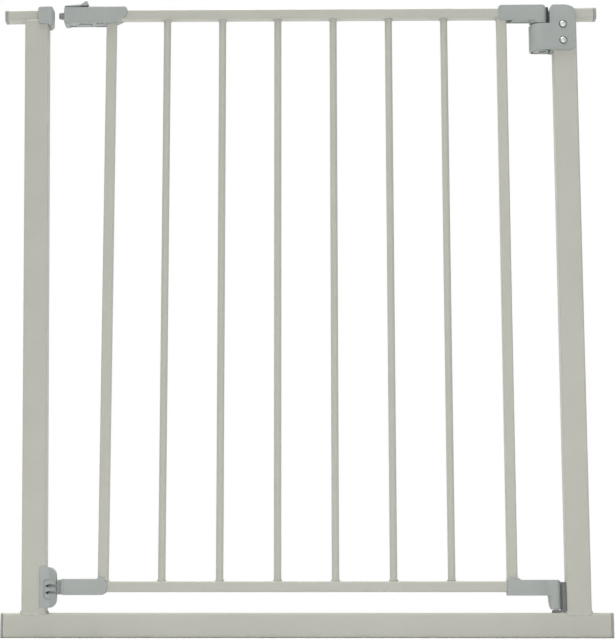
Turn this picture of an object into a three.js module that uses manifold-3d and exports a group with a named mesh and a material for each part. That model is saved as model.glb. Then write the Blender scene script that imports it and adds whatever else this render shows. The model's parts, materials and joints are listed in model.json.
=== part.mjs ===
// Pressure-fit safety baby gate: a U-shaped steel frame that stands between two walls, and a
// barred door that turns on two pivots at the right and bolts at the left.
// Millimetres, +Z up. Origin at the middle of the threshold's underside, the room side at -Y.

import * as THREE from 'three';
import { ConvexGeometry } from 'three/addons/geometries/ConvexGeometry.js';
import { mergeVertices } from 'three/addons/utils/BufferGeometryUtils.js';
import Module from 'manifold-3d';

const wasm = await Module();
wasm.setup();

// ---------------------------------------------------------------- driving dimensions

const gap = 0.3;                 // between pieces that are welded or pressed together
const weldLeg = 3;               // fillet welds at the uprights' feet
const smallWeld = 1.6;           // fillet welds in the door

// frame
const frameWidth = 702;
const frameTop = 750.5;
const rail = { height: 28.5, depth: 20, corner: 3, wall: 1.5 };
const upright = { width: 28.4, depth: 20, corner: 2.6, wall: 1.5 };
const stub = { size: 15, corner: 3.5, wall: 1.3 };
const latchUprightFoot = -313.3;                  // middle of its foot
const latchUprightLean = THREE.MathUtils.degToRad(0.93);  // the free frame springs open
const hingeUprightMiddle = 312.3;

// end plugs
const railPlug = { flange: 2.7, insert: 20, bore: 9 };
const stubPlug = { flange: 3.4, insert: 18, bore: 8 };

// door
const tube = { size: 12.5, corner: 2, wall: 1.2 };
const doorTop = 750.3;
const doorBottom = 52;
const latchStile = -234.6;
const hingeStile = 236.9;
const stileWidth = 12;
const barDiameter = 8.7;
const barWall = 1;
const barFlare = { out: 1, along: 1.8 };  // of the weld at each end
const barMiddle = 0.2;           // of the row of bars
const barPitch = 66.9;
const barCount = 6;

// pivots
const axisX = 286.5;
const pinDiameter = 6.2;
const pinRunning = 0.35;         // radial clearance round a pin

// facets in half a quarter turn of a tube's corner
const tubeCorner = 2;

// mouldings
const skin = 2;                  // wall of a moulding
const housingRun = 0.5;          // clearance of a sliding piece

const doorTopRailMiddle = doorTop - tube.size / 2;
const doorBottomRailMiddle = doorBottom + tube.size / 2;
const hingeFace = hingeUprightMiddle - upright.width / 2;
const stubMiddle = frameTop - stub.size / 2;
const latchStub = { x0: -35, x1: 10, z: 715.1 };  // in the leaning upright's own frame

// ---------------------------------------------------------------- materials

function finish(colour, roughness, metalness) {
  return new THREE.MeshStandardMaterial({ color: colour, roughness, metalness });
}

const paint = finish(0xbcbdb1, 0.45, 0.1);
const greyPlastic = finish(0xa2a8a5, 0.5, 0);
const darkPlastic = finish(0x8f9492, 0.55, 0);
const blackPlastic = finish(0x17181a, 0.5, 0);
const zinc = finish(0xc9cbca, 0.3, 1);
const springSteel = finish(0x9a9c9e, 0.3, 1);

// ---------------------------------------------------------------- solids

// A closed geometry as a solid that can be cut and joined.
function solid(geometry) {
  const plain = geometry.index ? geometry.toNonIndexed() : geometry.clone();
  plain.deleteAttribute('normal');
  plain.deleteAttribute('uv');
  const merged = mergeVertices(plain, 1e-4);
  return new wasm.Manifold(new wasm.Mesh({
    numProp: 3,
    vertProperties: new Float32Array(merged.attributes.position.array),
    triVerts: new Uint32Array(merged.index.array),
  }));
}

function geometryOf(body) {
  const mesh = body.getMesh();
  const geometry = new THREE.BufferGeometry();
  geometry.setAttribute('position', new THREE.BufferAttribute(new Float32Array(mesh.vertProperties), 3));
  geometry.setIndex(new THREE.BufferAttribute(new Uint32Array(mesh.triVerts), 1));
  geometry.computeVertexNormals();
  return geometry;
}

function joined(first, ...others) {
  return others.reduce((sum, other) => sum.add(other), first);
}

function cut(body, ...tools) {
  return tools.reduce((rest, tool) => rest.subtract(tool), body);
}

// A box between two corners.
function block(x0, x1, y0, y1, z0, z1) {
  const geometry = new THREE.BoxGeometry(x1 - x0, y1 - y0, z1 - z0);
  geometry.translate((x0 + x1) / 2, (y0 + y1) / 2, (z0 + z1) / 2);
  return solid(geometry);
}

// A round bar on the Z axis through x, y.
function rod(x, y, diameter, z0, z1, sides = 24) {
  const geometry = new THREE.CylinderGeometry(diameter / 2, diameter / 2, z1 - z0, sides);
  geometry.rotateX(Math.PI / 2);
  geometry.translate(x, y, (z0 + z1) / 2);
  return solid(geometry);
}

// A round bar along Y through x, z.
function crossRod(x, z, diameter, y0, y1, sides = 24) {
  const geometry = new THREE.CylinderGeometry(diameter / 2, diameter / 2, y1 - y0, sides);
  geometry.translate(x, (y0 + y1) / 2, z);
  return solid(geometry);
}

// A rectangle with its own radius at each corner, from the lower left one round anticlockwise.
function roundedOutline(x0, x1, y0, y1, radii) {
  const [lowerLeft, lowerRight, upperRight, upperLeft] = Array.isArray(radii) ? radii : Array(4).fill(radii);
  const shape = new THREE.Shape();
  shape.moveTo(x0 + lowerLeft, y0);
  shape.lineTo(x1 - lowerRight, y0);
  if (lowerRight) shape.absarc(x1 - lowerRight, y0 + lowerRight, lowerRight, -Math.PI / 2, 0, false);
  shape.lineTo(x1, y1 - upperRight);
  if (upperRight) shape.absarc(x1 - upperRight, y1 - upperRight, upperRight, 0, Math.PI / 2, false);
  shape.lineTo(x0 + upperLeft, y1);
  if (upperLeft) shape.absarc(x0 + upperLeft, y1 - upperLeft, upperLeft, Math.PI / 2, Math.PI, false);
  shape.lineTo(x0, y0 + lowerLeft);
  if (lowerLeft) shape.absarc(x0 + lowerLeft, y0 + lowerLeft, lowerLeft, Math.PI, Math.PI * 1.5, false);
  return shape;
}

function extruded(shape, length, edge = 0, curveSegments = 3) {
  const geometry = new THREE.ExtrudeGeometry(shape, {
    depth: length - 2 * edge,
    bevelEnabled: edge > 0,
    bevelThickness: edge,
    bevelSize: edge,
    bevelOffset: -edge,
    bevelSegments: 2,
    curveSegments,
  });
  geometry.translate(0, 0, edge);
  return geometry;
}

// A plan outline (X, Y) raised from z0 to z1.
function raised(shape, z0, z1, edge = 0, curveSegments = 3) {
  const geometry = extruded(shape, z1 - z0, edge, curveSegments);
  geometry.translate(0, 0, z0);
  return solid(geometry);
}

// A front outline (X, Z) running from y0 at the front to y1 at the back.
function deep(shape, y0, y1, edge = 0, curveSegments = 3) {
  const geometry = extruded(shape, y1 - y0, edge, curveSegments);
  geometry.rotateX(Math.PI / 2);
  geometry.translate(0, y1, 0);
  return solid(geometry);
}

// An end outline (Y, Z) running from x0 to x1.
const endwise = new THREE.Matrix4().makeBasis(
  new THREE.Vector3(0, 1, 0),
  new THREE.Vector3(0, 0, 1),
  new THREE.Vector3(1, 0, 0),
);

function long(shape, x0, x1, edge = 0, curveSegments = 3) {
  const geometry = extruded(shape, x1 - x0, edge, curveSegments);
  geometry.applyMatrix4(endwise);
  geometry.translate(x0, 0, 0);
  return solid(geometry);
}

// The section of a rolled tube, centred on a, b, with its bore.
function tubeSection(width, height, corner, wall, a = 0, b = 0) {
  const outline = roundedOutline(a - width / 2, a + width / 2, b - height / 2, b + height / 2, corner);
  const bore = roundedOutline(
    a - width / 2 + wall,
    a + width / 2 - wall,
    b - height / 2 + wall,
    b + height / 2 - wall,
    Math.max(corner - wall, 0.6),
  );
  outline.holes.push(bore);
  return outline;
}

// A concave fillet weld: it runs across the tube, with one leg up it and one along its neighbour.
function weldAt(x, z, leg, towardsX, towardsZ, halfLength) {
  const shape = new THREE.Shape();
  shape.moveTo(0, 0);
  shape.lineTo(leg, 0);
  shape.absarc(leg, leg, leg, -Math.PI / 2, -Math.PI, true);
  shape.lineTo(0, 0);
  const geometry = new THREE.ExtrudeGeometry(shape, {
    depth: 2 * halfLength,
    bevelEnabled: false,
    curveSegments: 4,
  });
  geometry.rotateX(Math.PI / 2);
  geometry.translate(-0.4, halfLength, 0);
  const body = solid(geometry);
  return body.scale([towardsX, 1, towardsZ]).translate([x, 0, z]);
}

// ---------------------------------------------------------------- frame tubes

function bottomRail() {
  const end = frameWidth / 2 - railPlug.flange - gap;
  const section = tubeSection(rail.depth, rail.height, rail.corner, rail.wall, 0, rail.height / 2);
  const cupHole = rod(axisX, 0, pivotCup.body + 2 * gap, rail.height - 2 * rail.wall, rail.height + 1);
  return cut(long(section, -end, end, 0, tubeCorner), cupHole);
}

// An upright standing at x with its foot on z0. The foot is cut to the rail's rounded top, which
// lean tilts against it, and welded at its sides.
function uprightTube(x, z0, z1, lean, weldSides) {
  const section = tubeSection(upright.width, upright.depth, upright.corner, upright.wall, x, 0);
  const half = upright.width / 2;
  const weldHalf = upright.depth / 2 - upright.corner;
  let body = raised(section, z0 - rail.corner, z1, 0, tubeCorner);
  for (const side of weldSides) {
    body = body.add(weldAt(x + side * half, z0 - 0.5, weldLeg, side, 1, weldHalf));
  }
  const railSide = rail.depth / 2 + gap;
  const railRound = rail.corner + gap;
  const railTop = roundedOutline(-railSide, railSide, -rail.height, 0, [0, 0, railRound, railRound]);
  const below = long(railTop, -2 * half, 2 * half, 0, 6).rotate([0, THREE.MathUtils.radToDeg(lean), 0]);
  return body.subtract(below.translate([x, 0, z0]));
}

function latchUpright() {
  const top = latchStub.z - stub.size / 2 - gap;
  const half = upright.width / 2;
  let body = uprightTube(0, gap, top, latchUprightLean, [-1, 1]);
  for (const z of catchPegs) {
    const hole = new THREE.CylinderGeometry(catchPegDiameter / 2 + gap, catchPegDiameter / 2 + gap, 6, 20);
    hole.rotateZ(Math.PI / 2);
    hole.translate(half, 0, z);
    body = body.subtract(solid(hole));
  }
  return body;
}

function hingeUpright() {
  const foot = rail.height + gap;
  const top = stubMiddle - stub.size / 2 - gap;
  let body = uprightTube(hingeUprightMiddle, foot, top, 0, [1]);
  for (const z of blockScrewHeights) {
    const hole = crossRod(blockScrewX, z, blockScrew.shank + 2 * gap, -upright.depth, 0, 16);
    body = body.subtract(hole);
  }
  return body;
}

function stubTube(x0, x1, z) {
  return long(tubeSection(stub.size, stub.size, stub.corner, stub.wall, 0, z), x0, x1, 0, tubeCorner);
}

// ---------------------------------------------------------------- end plugs

// A plug pushed into a tube: a flange that covers the cut end, and an insert with a round bore
// for the wall spindle and a pocket each side of it. It points along +X from x.
function endPlug(width, height, corner, wall, plug) {
  const inner = { width: width - 2 * wall - 2 * gap, height: height - 2 * wall - 2 * gap };
  const cover = roundedOutline(-width / 2, width / 2, -height / 2, height / 2, corner);
  const flange = long(cover, 0, plug.flange);
  const insert = long(
    roundedOutline(-inner.width / 2, inner.width / 2, -inner.height / 2, inner.height / 2, corner - wall),
    -plug.insert,
    0.1,
  );
  const bore = new THREE.CylinderGeometry(plug.bore / 2, plug.bore / 2, 4 * plug.insert, 24);
  bore.rotateZ(Math.PI / 2);
  return cut(joined(flange, insert), solid(bore));
}

function railEndPlug() {
  const body = endPlug(rail.depth, rail.height, rail.corner, rail.wall, railPlug);
  const pocketFloor = railPlug.bore / 2 + 1.6;
  const pocketTop = rail.height / 2 - rail.wall - gap - 1.8;
  const pocketHalf = rail.depth / 2 - rail.wall - gap - 1.8;
  const upper = block(-railPlug.insert - 1, -skin, -pocketHalf, pocketHalf, pocketFloor, pocketTop);
  const lower = block(-railPlug.insert - 1, -skin, -pocketHalf, pocketHalf, -pocketTop, -pocketFloor);
  return cut(body, upper, lower);
}

function stubEndPlug() {
  return endPlug(stub.size, stub.size, stub.corner, stub.wall, stubPlug);
}

// ---------------------------------------------------------------- strike cap (upright's own frame)

const strike = { left: 2, nose: 20, front: 12.6, back: 12.6, noseBack: 6.5, top: 724, bottom: 700.8 };
const strikePocket = { floor: 13.2, half: 4.4, low: 709.4, high: 720.6 };

function strikeCap() {
  const { left, nose, front, back, noseBack, top, bottom } = strike;
  const lowRound = 3.8;
  const lowEnd = bottom + lowRound + 2.4;
  const face = new THREE.Shape();
  face.moveTo(left, lowEnd);
  face.absarc(left + lowRound, lowEnd, lowRound, Math.PI, 1.5 * Math.PI, false);
  face.quadraticCurveTo(9.5, bottom + 2.2, 12.6, bottom + 1.1);
  face.lineTo(nose - 3, bottom + 0.2);
  face.absarc(nose - 3, bottom + 3.2, 3, -Math.PI / 2, 0, false);
  face.lineTo(nose, top - 2.4);
  face.absarc(nose - 2.4, top - 2.4, 2.4, 0, Math.PI / 2, false);
  face.lineTo(left + 3, top);
  face.absarc(left + 3, top - 3, 3, Math.PI / 2, Math.PI, false);
  face.lineTo(left, lowEnd);

  // the nose is shallower than the part that goes round the upright
  const inner = upright.width / 2 + gap;
  const plan = new THREE.Shape();
  plan.moveTo(left, -front - 1);
  plan.lineTo(nose - 5, -front - 1);
  plan.lineTo(nose - 5, -front);
  plan.absarc(nose - 5, -front + 5, 5, -Math.PI / 2, 0, false);
  plan.lineTo(nose + 0.02, noseBack - 2.5);
  plan.absarc(nose - 2.48, noseBack - 2.5, 2.5, 0, Math.PI / 2, false);
  plan.lineTo(inner + 2, noseBack);
  plan.lineTo(inner + 2, back + 1);
  plan.lineTo(left, back + 1);
  plan.lineTo(left, -front - 1);
  const outside = deep(face, -front, back, 0.8).intersect(raised(plan, bottom - 5, top + 1));

  const tubeHalf = upright.depth / 2 + gap;
  const uprightRoom = block(-30, inner, -tubeHalf, tubeHalf, 600, latchStub.z - stub.size / 2);
  const stubHalf = stub.size / 2 + gap;
  const stubLow = latchStub.z - stubHalf;
  const stubTop = latchStub.z + stubHalf;
  const stubRoom = block(-30, latchStub.x1 + gap, -stubHalf, stubHalf, stubLow, stubTop);
  const sideRoom = block(-30, latchStub.x1 - 3, -tubeHalf, tubeHalf, stubLow, latchStub.z - 1);
  const { floor, half, low, high } = strikePocket;
  return cut(outside, uprightRoom, stubRoom, sideRoom, block(floor, nose + 5, -half, half, low, high));
}

// ---------------------------------------------------------------- lower catch (upright's own frame)

const catchShape = { left: 7.1, ridge: 18, nose: 25.4, front: 12, low: 5.5, high: 52.2, noseCorner: 10.2 };
const catchMiddle = 26.4;
const catchPitch = 7.6;          // of its three teeth, with a groove for a fin between each two
const catchGroove = {
  half: 1.1,
  floor: 15.4,
  mouth: 2,
  tip: 12.9,
  heights: [catchMiddle - catchPitch / 2, catchMiddle + catchPitch / 2],
};
const catchRecess = { left: 11.6, depth: 1.3, margin: 3.8, toothLeft: 13.1, toothHalf: 2.6 };
const catchPegs = [12.5, 46.5];
const catchPegDiameter = 5;

// A groove for a fin: narrow at the middle of the catch, opening like a funnel to one face.
function grooveHalf(z, side) {
  const { half, floor, mouth, tip } = catchGroove;
  const { ridge, nose, front } = catchShape;
  const out = side * (front + 1);
  const far = nose + 4;
  const points = [];
  for (const up of [-1, 1]) {
    points.push(new THREE.Vector3(floor, side * -0.2, z + up * half));
    points.push(new THREE.Vector3(far, side * -0.2, z + up * half));
    points.push(new THREE.Vector3(ridge - 1, out, z + up * mouth));
    points.push(new THREE.Vector3(far, out, z + up * half * 1.2));
  }
  points.push(new THREE.Vector3(tip, out, z));
  return solid(new ConvexGeometry(points));
}

function lowerCatch() {
  const { left, ridge, nose, front, low, high, noseCorner } = catchShape;
  const outline = roundedOutline(left, nose, low, high, [1.5, noseCorner, noseCorner, 1.5]);
  const face = deep(outline, -front, front, 0.8);
  const plan = new THREE.Shape();
  plan.moveTo(left, -front);
  plan.lineTo(ridge, -front);
  plan.lineTo(nose, -5);
  plan.lineTo(nose, 5);
  plan.lineTo(ridge, front);
  plan.lineTo(left, front);
  plan.lineTo(left, -front);
  let body = face.intersect(raised(plan, low - 1, high + 1));
  const half = upright.width / 2;
  body = body.subtract(block(-30, half + gap, -upright.depth / 2 - gap, upright.depth / 2 + gap, 0, 60));
  // three teeth stand in a recess of each face, with their left ends round
  const { depth, margin, toothLeft, toothHalf } = catchRecess;
  const reach = catchPitch + margin;
  const recess = roundedOutline(
    catchRecess.left,
    ridge + 5,
    catchMiddle - reach,
    catchMiddle + reach,
    [margin, 0, 0, margin],
  );
  for (const side of [-1, 1]) {
    const inside = side * (front - depth);
    const outside = side * (front + 1);
    let hollow = deep(recess, Math.min(inside, outside), Math.max(inside, outside));
    for (const count of [-1, 0, 1]) {
      const z = catchMiddle + count * catchPitch;
      const tooth = roundedOutline(toothLeft, ridge + 6, z - toothHalf, z + toothHalf, [2.2, 0, 0, 2.2]);
      hollow = hollow.subtract(deep(tooth, -front - 2, front + 2));
    }
    body = body.subtract(hollow);
  }
  for (const z of catchGroove.heights) {
    body = cut(body, grooveHalf(z, -1), grooveHalf(z, 1));
  }
  for (const z of catchPegs) {
    const peg = new THREE.CylinderGeometry(catchPegDiameter / 2, catchPegDiameter / 2, 4, 20);
    peg.rotateZ(Math.PI / 2);
    peg.translate(half - 0.6, 0, z);
    body = body.add(solid(peg));
  }
  return body;
}

// ---------------------------------------------------------------- hinge block and its bearing

const hingeBlock = { left: 294.6, right: 325, front: -13, back: 9.7, bottom: 695.6, top: 752.2 };
const barrel = {
  left: 270.4,
  round: 15,
  rearRound: 6,
  top: 729,
  bottom: 696.5,
  wall: 2.2,
  boss: 13.6,
  roof: 2.6,
  lowRound: 3,
  island: 4.4,
};
const bush = { outside: 8.6, flange: 12, flangeThickness: 0.9, low: 705 };
const blockScrewX = 309.7;
const blockScrewHeights = [727.3, 707.4];
const blockScrew = { head: 8.2, headHeight: 2.3, shank: 4, length: 10 };

// The barrel's plan: its left side is round at the front, less so at the back.
function barrelPlan(inset) {
  const { left, round, rearRound } = barrel;
  const { front, back } = hingeBlock;
  return roundedOutline(
    left + inset,
    hingeFace - 0.6 - inset,
    front + inset,
    back - inset,
    [round - inset, 0, 0, rearRound - inset],
  );
}

function hingeBlockBody() {
  const { left, right, front, back, bottom, top } = hingeBlock;
  const face = new THREE.Shape();
  face.moveTo(left, bottom);
  face.lineTo(right - 9, bottom);
  face.absarc(right - 9, bottom + 9, 9, -Math.PI / 2, 0, false);
  face.lineTo(right, top - 8);
  face.quadraticCurveTo(right - 0.5, top - 3, right - 7, top - 1.2);
  face.lineTo(right - 12, top);
  face.lineTo(left + 5, top);
  face.absarc(left + 5, top - 5, 5, Math.PI / 2, Math.PI, false);
  face.lineTo(left, bottom);

  const plate = deep(face, front, back, 1);
  const noseCorners = [barrel.lowRound, 0, 0, 0.8];
  const noseFace = roundedOutline(barrel.left, right, barrel.bottom, barrel.top, noseCorners);
  const nose = raised(barrelPlan(0), barrel.bottom, barrel.top, 0.8, 8);
  let body = plate.add(nose.intersect(deep(noseFace, front - 1, back + 1, 0, 6)));

  // the upright, the stub and the hollow beside the stub
  const behindPlate = front + 2.7;
  const stubHalf = stub.size / 2 + gap;
  const tubeRoom = block(hingeFace - gap, 400, behindPlate, 30, 600, stubMiddle - stub.size / 2);
  const stubLow = stubMiddle - stubHalf;
  const stubTop = stubMiddle + stubHalf;
  const stubRoom = block(hingeFace - gap, 400, -stubHalf, stubHalf, stubLow, stubTop);
  const frontRoom = block(hingeFace - gap, right - 2.5, behindPlate, 0, 700, stubMiddle + 3);
  body = cut(body, tubeRoom, stubRoom, frontRoom);

  // the barrel's inside, open below: a boss for the bearing, ribs from it to the wall, and at the
  // left a solid island behind a groove
  let ribs = rod(axisX, 0, barrel.boss, barrel.bottom - 1, barrel.top);
  for (const angle of [0, 45, 90, 135]) {
    const rib = block(-25, 25, -0.8, 0.8, barrel.bottom + 1.5, barrel.top).rotate([0, 0, angle]);
    ribs = ribs.add(rib.translate([axisX, 0, 0]));
  }
  const island = raised(barrelPlan(barrel.island), barrel.bottom + 0.4, barrel.top, 0, 8);
  ribs = ribs.add(island.intersect(block(left - 30, axisX, front, back, barrel.bottom, barrel.top)));
  const inside = raised(barrelPlan(barrel.wall), barrel.bottom - 2, barrel.top - barrel.roof, 0, 8);
  body = body.subtract(inside.subtract(ribs));
  body = body.subtract(rod(axisX, 0, bush.outside + 2 * gap, bottom - 5, barrel.top + 5));

  // screws through the front plate, each in a shallow recess
  for (const z of blockScrewHeights) {
    const hole = crossRod(blockScrewX, z, blockScrew.shank + 2 * gap, front - 1, behindPlate + 1, 16);
    const recess = crossRod(blockScrewX, z, blockScrew.head + 1.2, front - 1, front + 0.9);
    body = cut(body, hole, recess);
  }
  return body;
}

// A pan-head screw along Y. Its head's underside is at y, its head towards side (-1 front, 1 back).
function panScrew(x, z, y, side, sizes) {
  const points = [
    new THREE.Vector2(0, -sizes.length),
    new THREE.Vector2(sizes.shank / 2 - 0.6, -sizes.length),
    new THREE.Vector2(sizes.shank / 2, -sizes.length + 1.2),
    new THREE.Vector2(sizes.shank / 2, 0),
    new THREE.Vector2(sizes.head / 2, 0),
    new THREE.Vector2(sizes.head / 2, sizes.headHeight * 0.35),
  ];
  const crownSteps = 3;
  for (let step = 1; step <= crownSteps; step += 1) {
    const angle = (step / crownSteps) * (Math.PI / 2);
    const radius = (sizes.head / 2) * (1 - 0.55 * (1 - Math.cos(angle)));
    points.push(new THREE.Vector2(radius, sizes.headHeight * (0.35 + 0.65 * Math.sin(angle))));
  }
  points.push(new THREE.Vector2(0, sizes.headHeight));
  const geometry = new THREE.LatheGeometry(points, 16);
  let body = solid(geometry);
  for (const angle of [0, 90]) {
    const slot = block(-sizes.head * 0.3, sizes.head * 0.3, sizes.headHeight - 1, 20, -0.55, 0.55);
    body = body.subtract(slot.rotate([0, angle, 0]));
  }
  return body.rotate([0, 0, side < 0 ? 180 : 0]).translate([x, y, z]);
}

function ring(outside, inside, z0, z1) {
  return rod(axisX, 0, outside, z0, z1).subtract(rod(axisX, 0, inside, z0 - 1, z1 + 1));
}

function hingeBush() {
  const bore = pinDiameter + 2 * pinRunning;
  const sleeve = ring(bush.outside, bore, bush.low, barrel.top + gap + 0.1);
  return sleeve.add(ring(bush.flange, bore, barrel.top + gap, barrel.top + gap + bush.flangeThickness));
}

const pivotCup = { body: 9.8, floor: 12 };
const pivotBracket = { left: 282.8, right: 297.8, half: 7, base: 3, wall: 4.5, high: 63.5 };

// The lower bearing: a bush in the rail under a thick base, and a wall up the side of the upright.
function lowerPivotCup() {
  const { floor } = pivotCup;
  const { left, right, half, base, wall, high } = pivotBracket;
  const low = rail.height + gap;
  const profile = new THREE.Shape();
  profile.moveTo(left, low);
  profile.lineTo(right, low);
  profile.lineTo(right, high);
  profile.lineTo(right - wall, high);
  profile.lineTo(right - wall, low + base + 1.5);
  profile.lineTo(right - wall - 0.6, low + base);
  profile.lineTo(left + 0.8, low + base);
  profile.lineTo(left, low + base - 0.8);
  profile.lineTo(left, low);
  const bracket = deep(profile, -half, half);
  const body = rod(axisX, 0, pivotCup.body, floor, low + 0.5);
  const bore = rod(axisX, 0, pinDiameter + 2 * pinRunning, floor + 1.6, low + base + 1);
  return cut(joined(body, bracket), bore);
}

// ---------------------------------------------------------------- door tubes and bars

const topRailEnd = { latch: -256, hinge: 272 };
const bottomRailEnd = { latch: -280.5, hinge: 275 };

function doorRail(x0, x1, z) {
  return long(tubeSection(tube.size, tube.size, tube.corner, tube.wall, 0, z), x0, x1, 0, tubeCorner);
}

function topRail() {
  const body = doorRail(topRailEnd.latch, topRailEnd.hinge, doorTopRailMiddle);
  return cut(
    body,
    rearHole(rearScrewX.latchHousing, doorTopRailMiddle),
    rearHole(rearScrewX.hingeArm, doorTopRailMiddle),
  );
}

function bottomRailOfDoor() {
  const body = doorRail(bottomRailEnd.latch, bottomRailEnd.hinge, doorBottomRailMiddle);
  return cut(
    body,
    rearHole(rearScrewX.catchArm, doorBottomRailMiddle),
    rearHole(rearScrewX.hingeFoot, doorBottomRailMiddle),
  );
}

const uprightSpan = { low: doorBottom + tube.size + gap, high: doorTop - tube.size - gap };

function stile(x, lowWelds, highWelds) {
  const section = tubeSection(stileWidth, tube.size, tube.corner, tube.wall, x, 0);
  let body = raised(section, uprightSpan.low, uprightSpan.high, 0, tubeCorner);
  const weldHalf = tube.size / 2 - tube.corner;
  for (const side of lowWelds) {
    body = body.add(weldAt(x + (side * stileWidth) / 2, uprightSpan.low, smallWeld, side, 1, weldHalf));
  }
  for (const side of highWelds) {
    body = body.add(weldAt(x + (side * stileWidth) / 2, uprightSpan.high, smallWeld, side, -1, weldHalf));
  }
  return body;
}

// A round tube whose ends flare into their welds.
function doorBar() {
  const radius = barDiameter / 2;
  const bore = radius - barWall;
  const { low, high } = uprightSpan;
  const flareAt = (t) => radius + barFlare.out * (1 - Math.sin((t * Math.PI) / 2));
  const points = [new THREE.Vector2(bore, low)];
  for (const t of [0, 0.3, 0.65, 1]) {
    points.push(new THREE.Vector2(flareAt(t), low + barFlare.along * t));
  }
  for (const t of [1, 0.65, 0.3, 0]) {
    points.push(new THREE.Vector2(flareAt(t), high - barFlare.along * t));
  }
  points.push(new THREE.Vector2(bore, high));
  points.push(new THREE.Vector2(bore, low));
  const geometry = new THREE.LatheGeometry(points, 20);
  geometry.rotateX(Math.PI / 2);
  return solid(geometry);
}

// ---------------------------------------------------------------- back screws of the mouldings

const rearScrew = { head: 5.6, headHeight: 1.8, shank: 3, length: 9 };
const rearScrewX = { latchHousing: -247, hingeArm: 252, catchArm: -258, hingeFoot: 258 };

const rearRecess = 0.9;

function rearHole(x, z) {
  return crossRod(x, z, rearScrew.shank + 2 * gap, 0, 30, 16);
}

// A moulding with the hole and the recess of its back screw. Its back face is at y.
function withRearScrew(body, x, z, y) {
  const recess = crossRod(x, z, rearScrew.head + 1, y - rearRecess, y + 5);
  return cut(body, recess, rearHole(x, z));
}

// ---------------------------------------------------------------- latch housing and what slides in it

const housing = { left: -292, right: -215.4, low: 732.6, high: 753.7, front: -10, back: 9 };
const bolt = { tip: -299.2, height: 7.2, width: 7, middle: 744.05, carriageLeft: -288, carriageRight: -268 };
const boltTravel = 6.8;
const trigger = { left: -273.5, right: -259.2, half: 4.4, low: 731.7 };
const sliderStem = { left: -282, right: -271, half: 2, low: 746.9 };
const slider = { length: 29.6, front: -8, back: 6, tab: 7 };
const underPockets = [[-252.6, -249.9], [-247.7, -243.2]];
const underPocketDepth = 4.2;
const rearUnderPocket = [-255.1, -242.2];

function latchHousing() {
  const { left, right, low, high, front, back } = housing;
  const sweep = { long: 27, high: 15 };         // the lower right corner, a quarter of an ellipse
  const face = new THREE.Shape();
  face.moveTo(left + 2.6, low);
  face.lineTo(right - sweep.long, low);
  face.absellipse(right - sweep.long, low + sweep.high, sweep.long, sweep.high, -Math.PI / 2, 0, false, 0);
  face.lineTo(right, high - 4.5);
  face.absarc(right - 4.5, high - 4.5, 4.5, 0, Math.PI / 2, false);
  face.lineTo(left + 2.6, high);
  face.absarc(left + 2.6, high - 2.6, 2.6, Math.PI / 2, Math.PI, false);
  face.lineTo(left, low + 2.6);
  face.absarc(left + 2.6, low + 2.6, 2.6, Math.PI, 1.5 * Math.PI, false);
  const outside = deep(face, front, back, 1.6, 6);
  const heel = deep(roundedOutline(left + 0.8, left + 7, low - 1.2, low + 3, 1), front + 1, back - 1, 0.8);

  const floor = low + skin;
  const roof = high - skin;
  const cavity = block(left + skin, topRailEnd.latch - 2, front + skin, back - skin, floor, roof);
  const railHalf = tube.size / 2 + gap;
  const railLow = doorTop - tube.size - gap;
  const railRoom = block(topRailEnd.latch - 3, right + 5, -railHalf, railHalf, railLow, doorTop + gap);
  const stileSide = stileWidth / 2 + gap;
  const stileRoom = block(
    latchStile - stileSide,
    latchStile + stileSide,
    -railHalf,
    railHalf,
    low - 5,
    doorTop - tube.size,
  );
  const boltHole = block(
    left - 5,
    left + skin + 1,
    -bolt.width / 2 - housingRun,
    bolt.width / 2 + housingRun,
    bolt.middle - bolt.height / 2 - housingRun,
    bolt.middle + bolt.height / 2 + housingRun,
  );
  const stemSlot = block(
    sliderStem.left - housingRun,
    sliderStem.right + boltTravel + housingRun,
    -sliderStem.half - housingRun,
    sliderStem.half + housingRun,
    roof - 1,
    high + 5,
  );
  const triggerHole = block(
    trigger.left - housingRun,
    trigger.right + housingRun,
    -trigger.half - housingRun,
    trigger.half + housingRun,
    low - 5,
    floor + 1,
  );
  const rearSlot = block(left + 6.5, left + 17, back - 6.5, back - 2.5, low - 5, floor + 1);
  const moving = [boltHole, stemSlot, triggerHole];
  let body = cut(joined(outside, heel), cavity, railRoom, stileRoom, ...moving, rearSlot);

  // moulding pockets in the underside, between the trigger and the stile
  const pocketRoof = railLow - 0.8;
  for (const [x0, x1] of underPockets) {
    body = body.subtract(block(x0, x1, front + skin, front + skin + underPocketDepth, low - 5, pocketRoof));
  }
  const [rearLeft, rearRight] = rearUnderPocket;
  body = body.subtract(block(rearLeft, rearRight, back - 4.4, back - skin, low - 5, pocketRoof));
  return withRearScrew(body, rearScrewX.latchHousing, doorTopRailMiddle, back);
}

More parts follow.
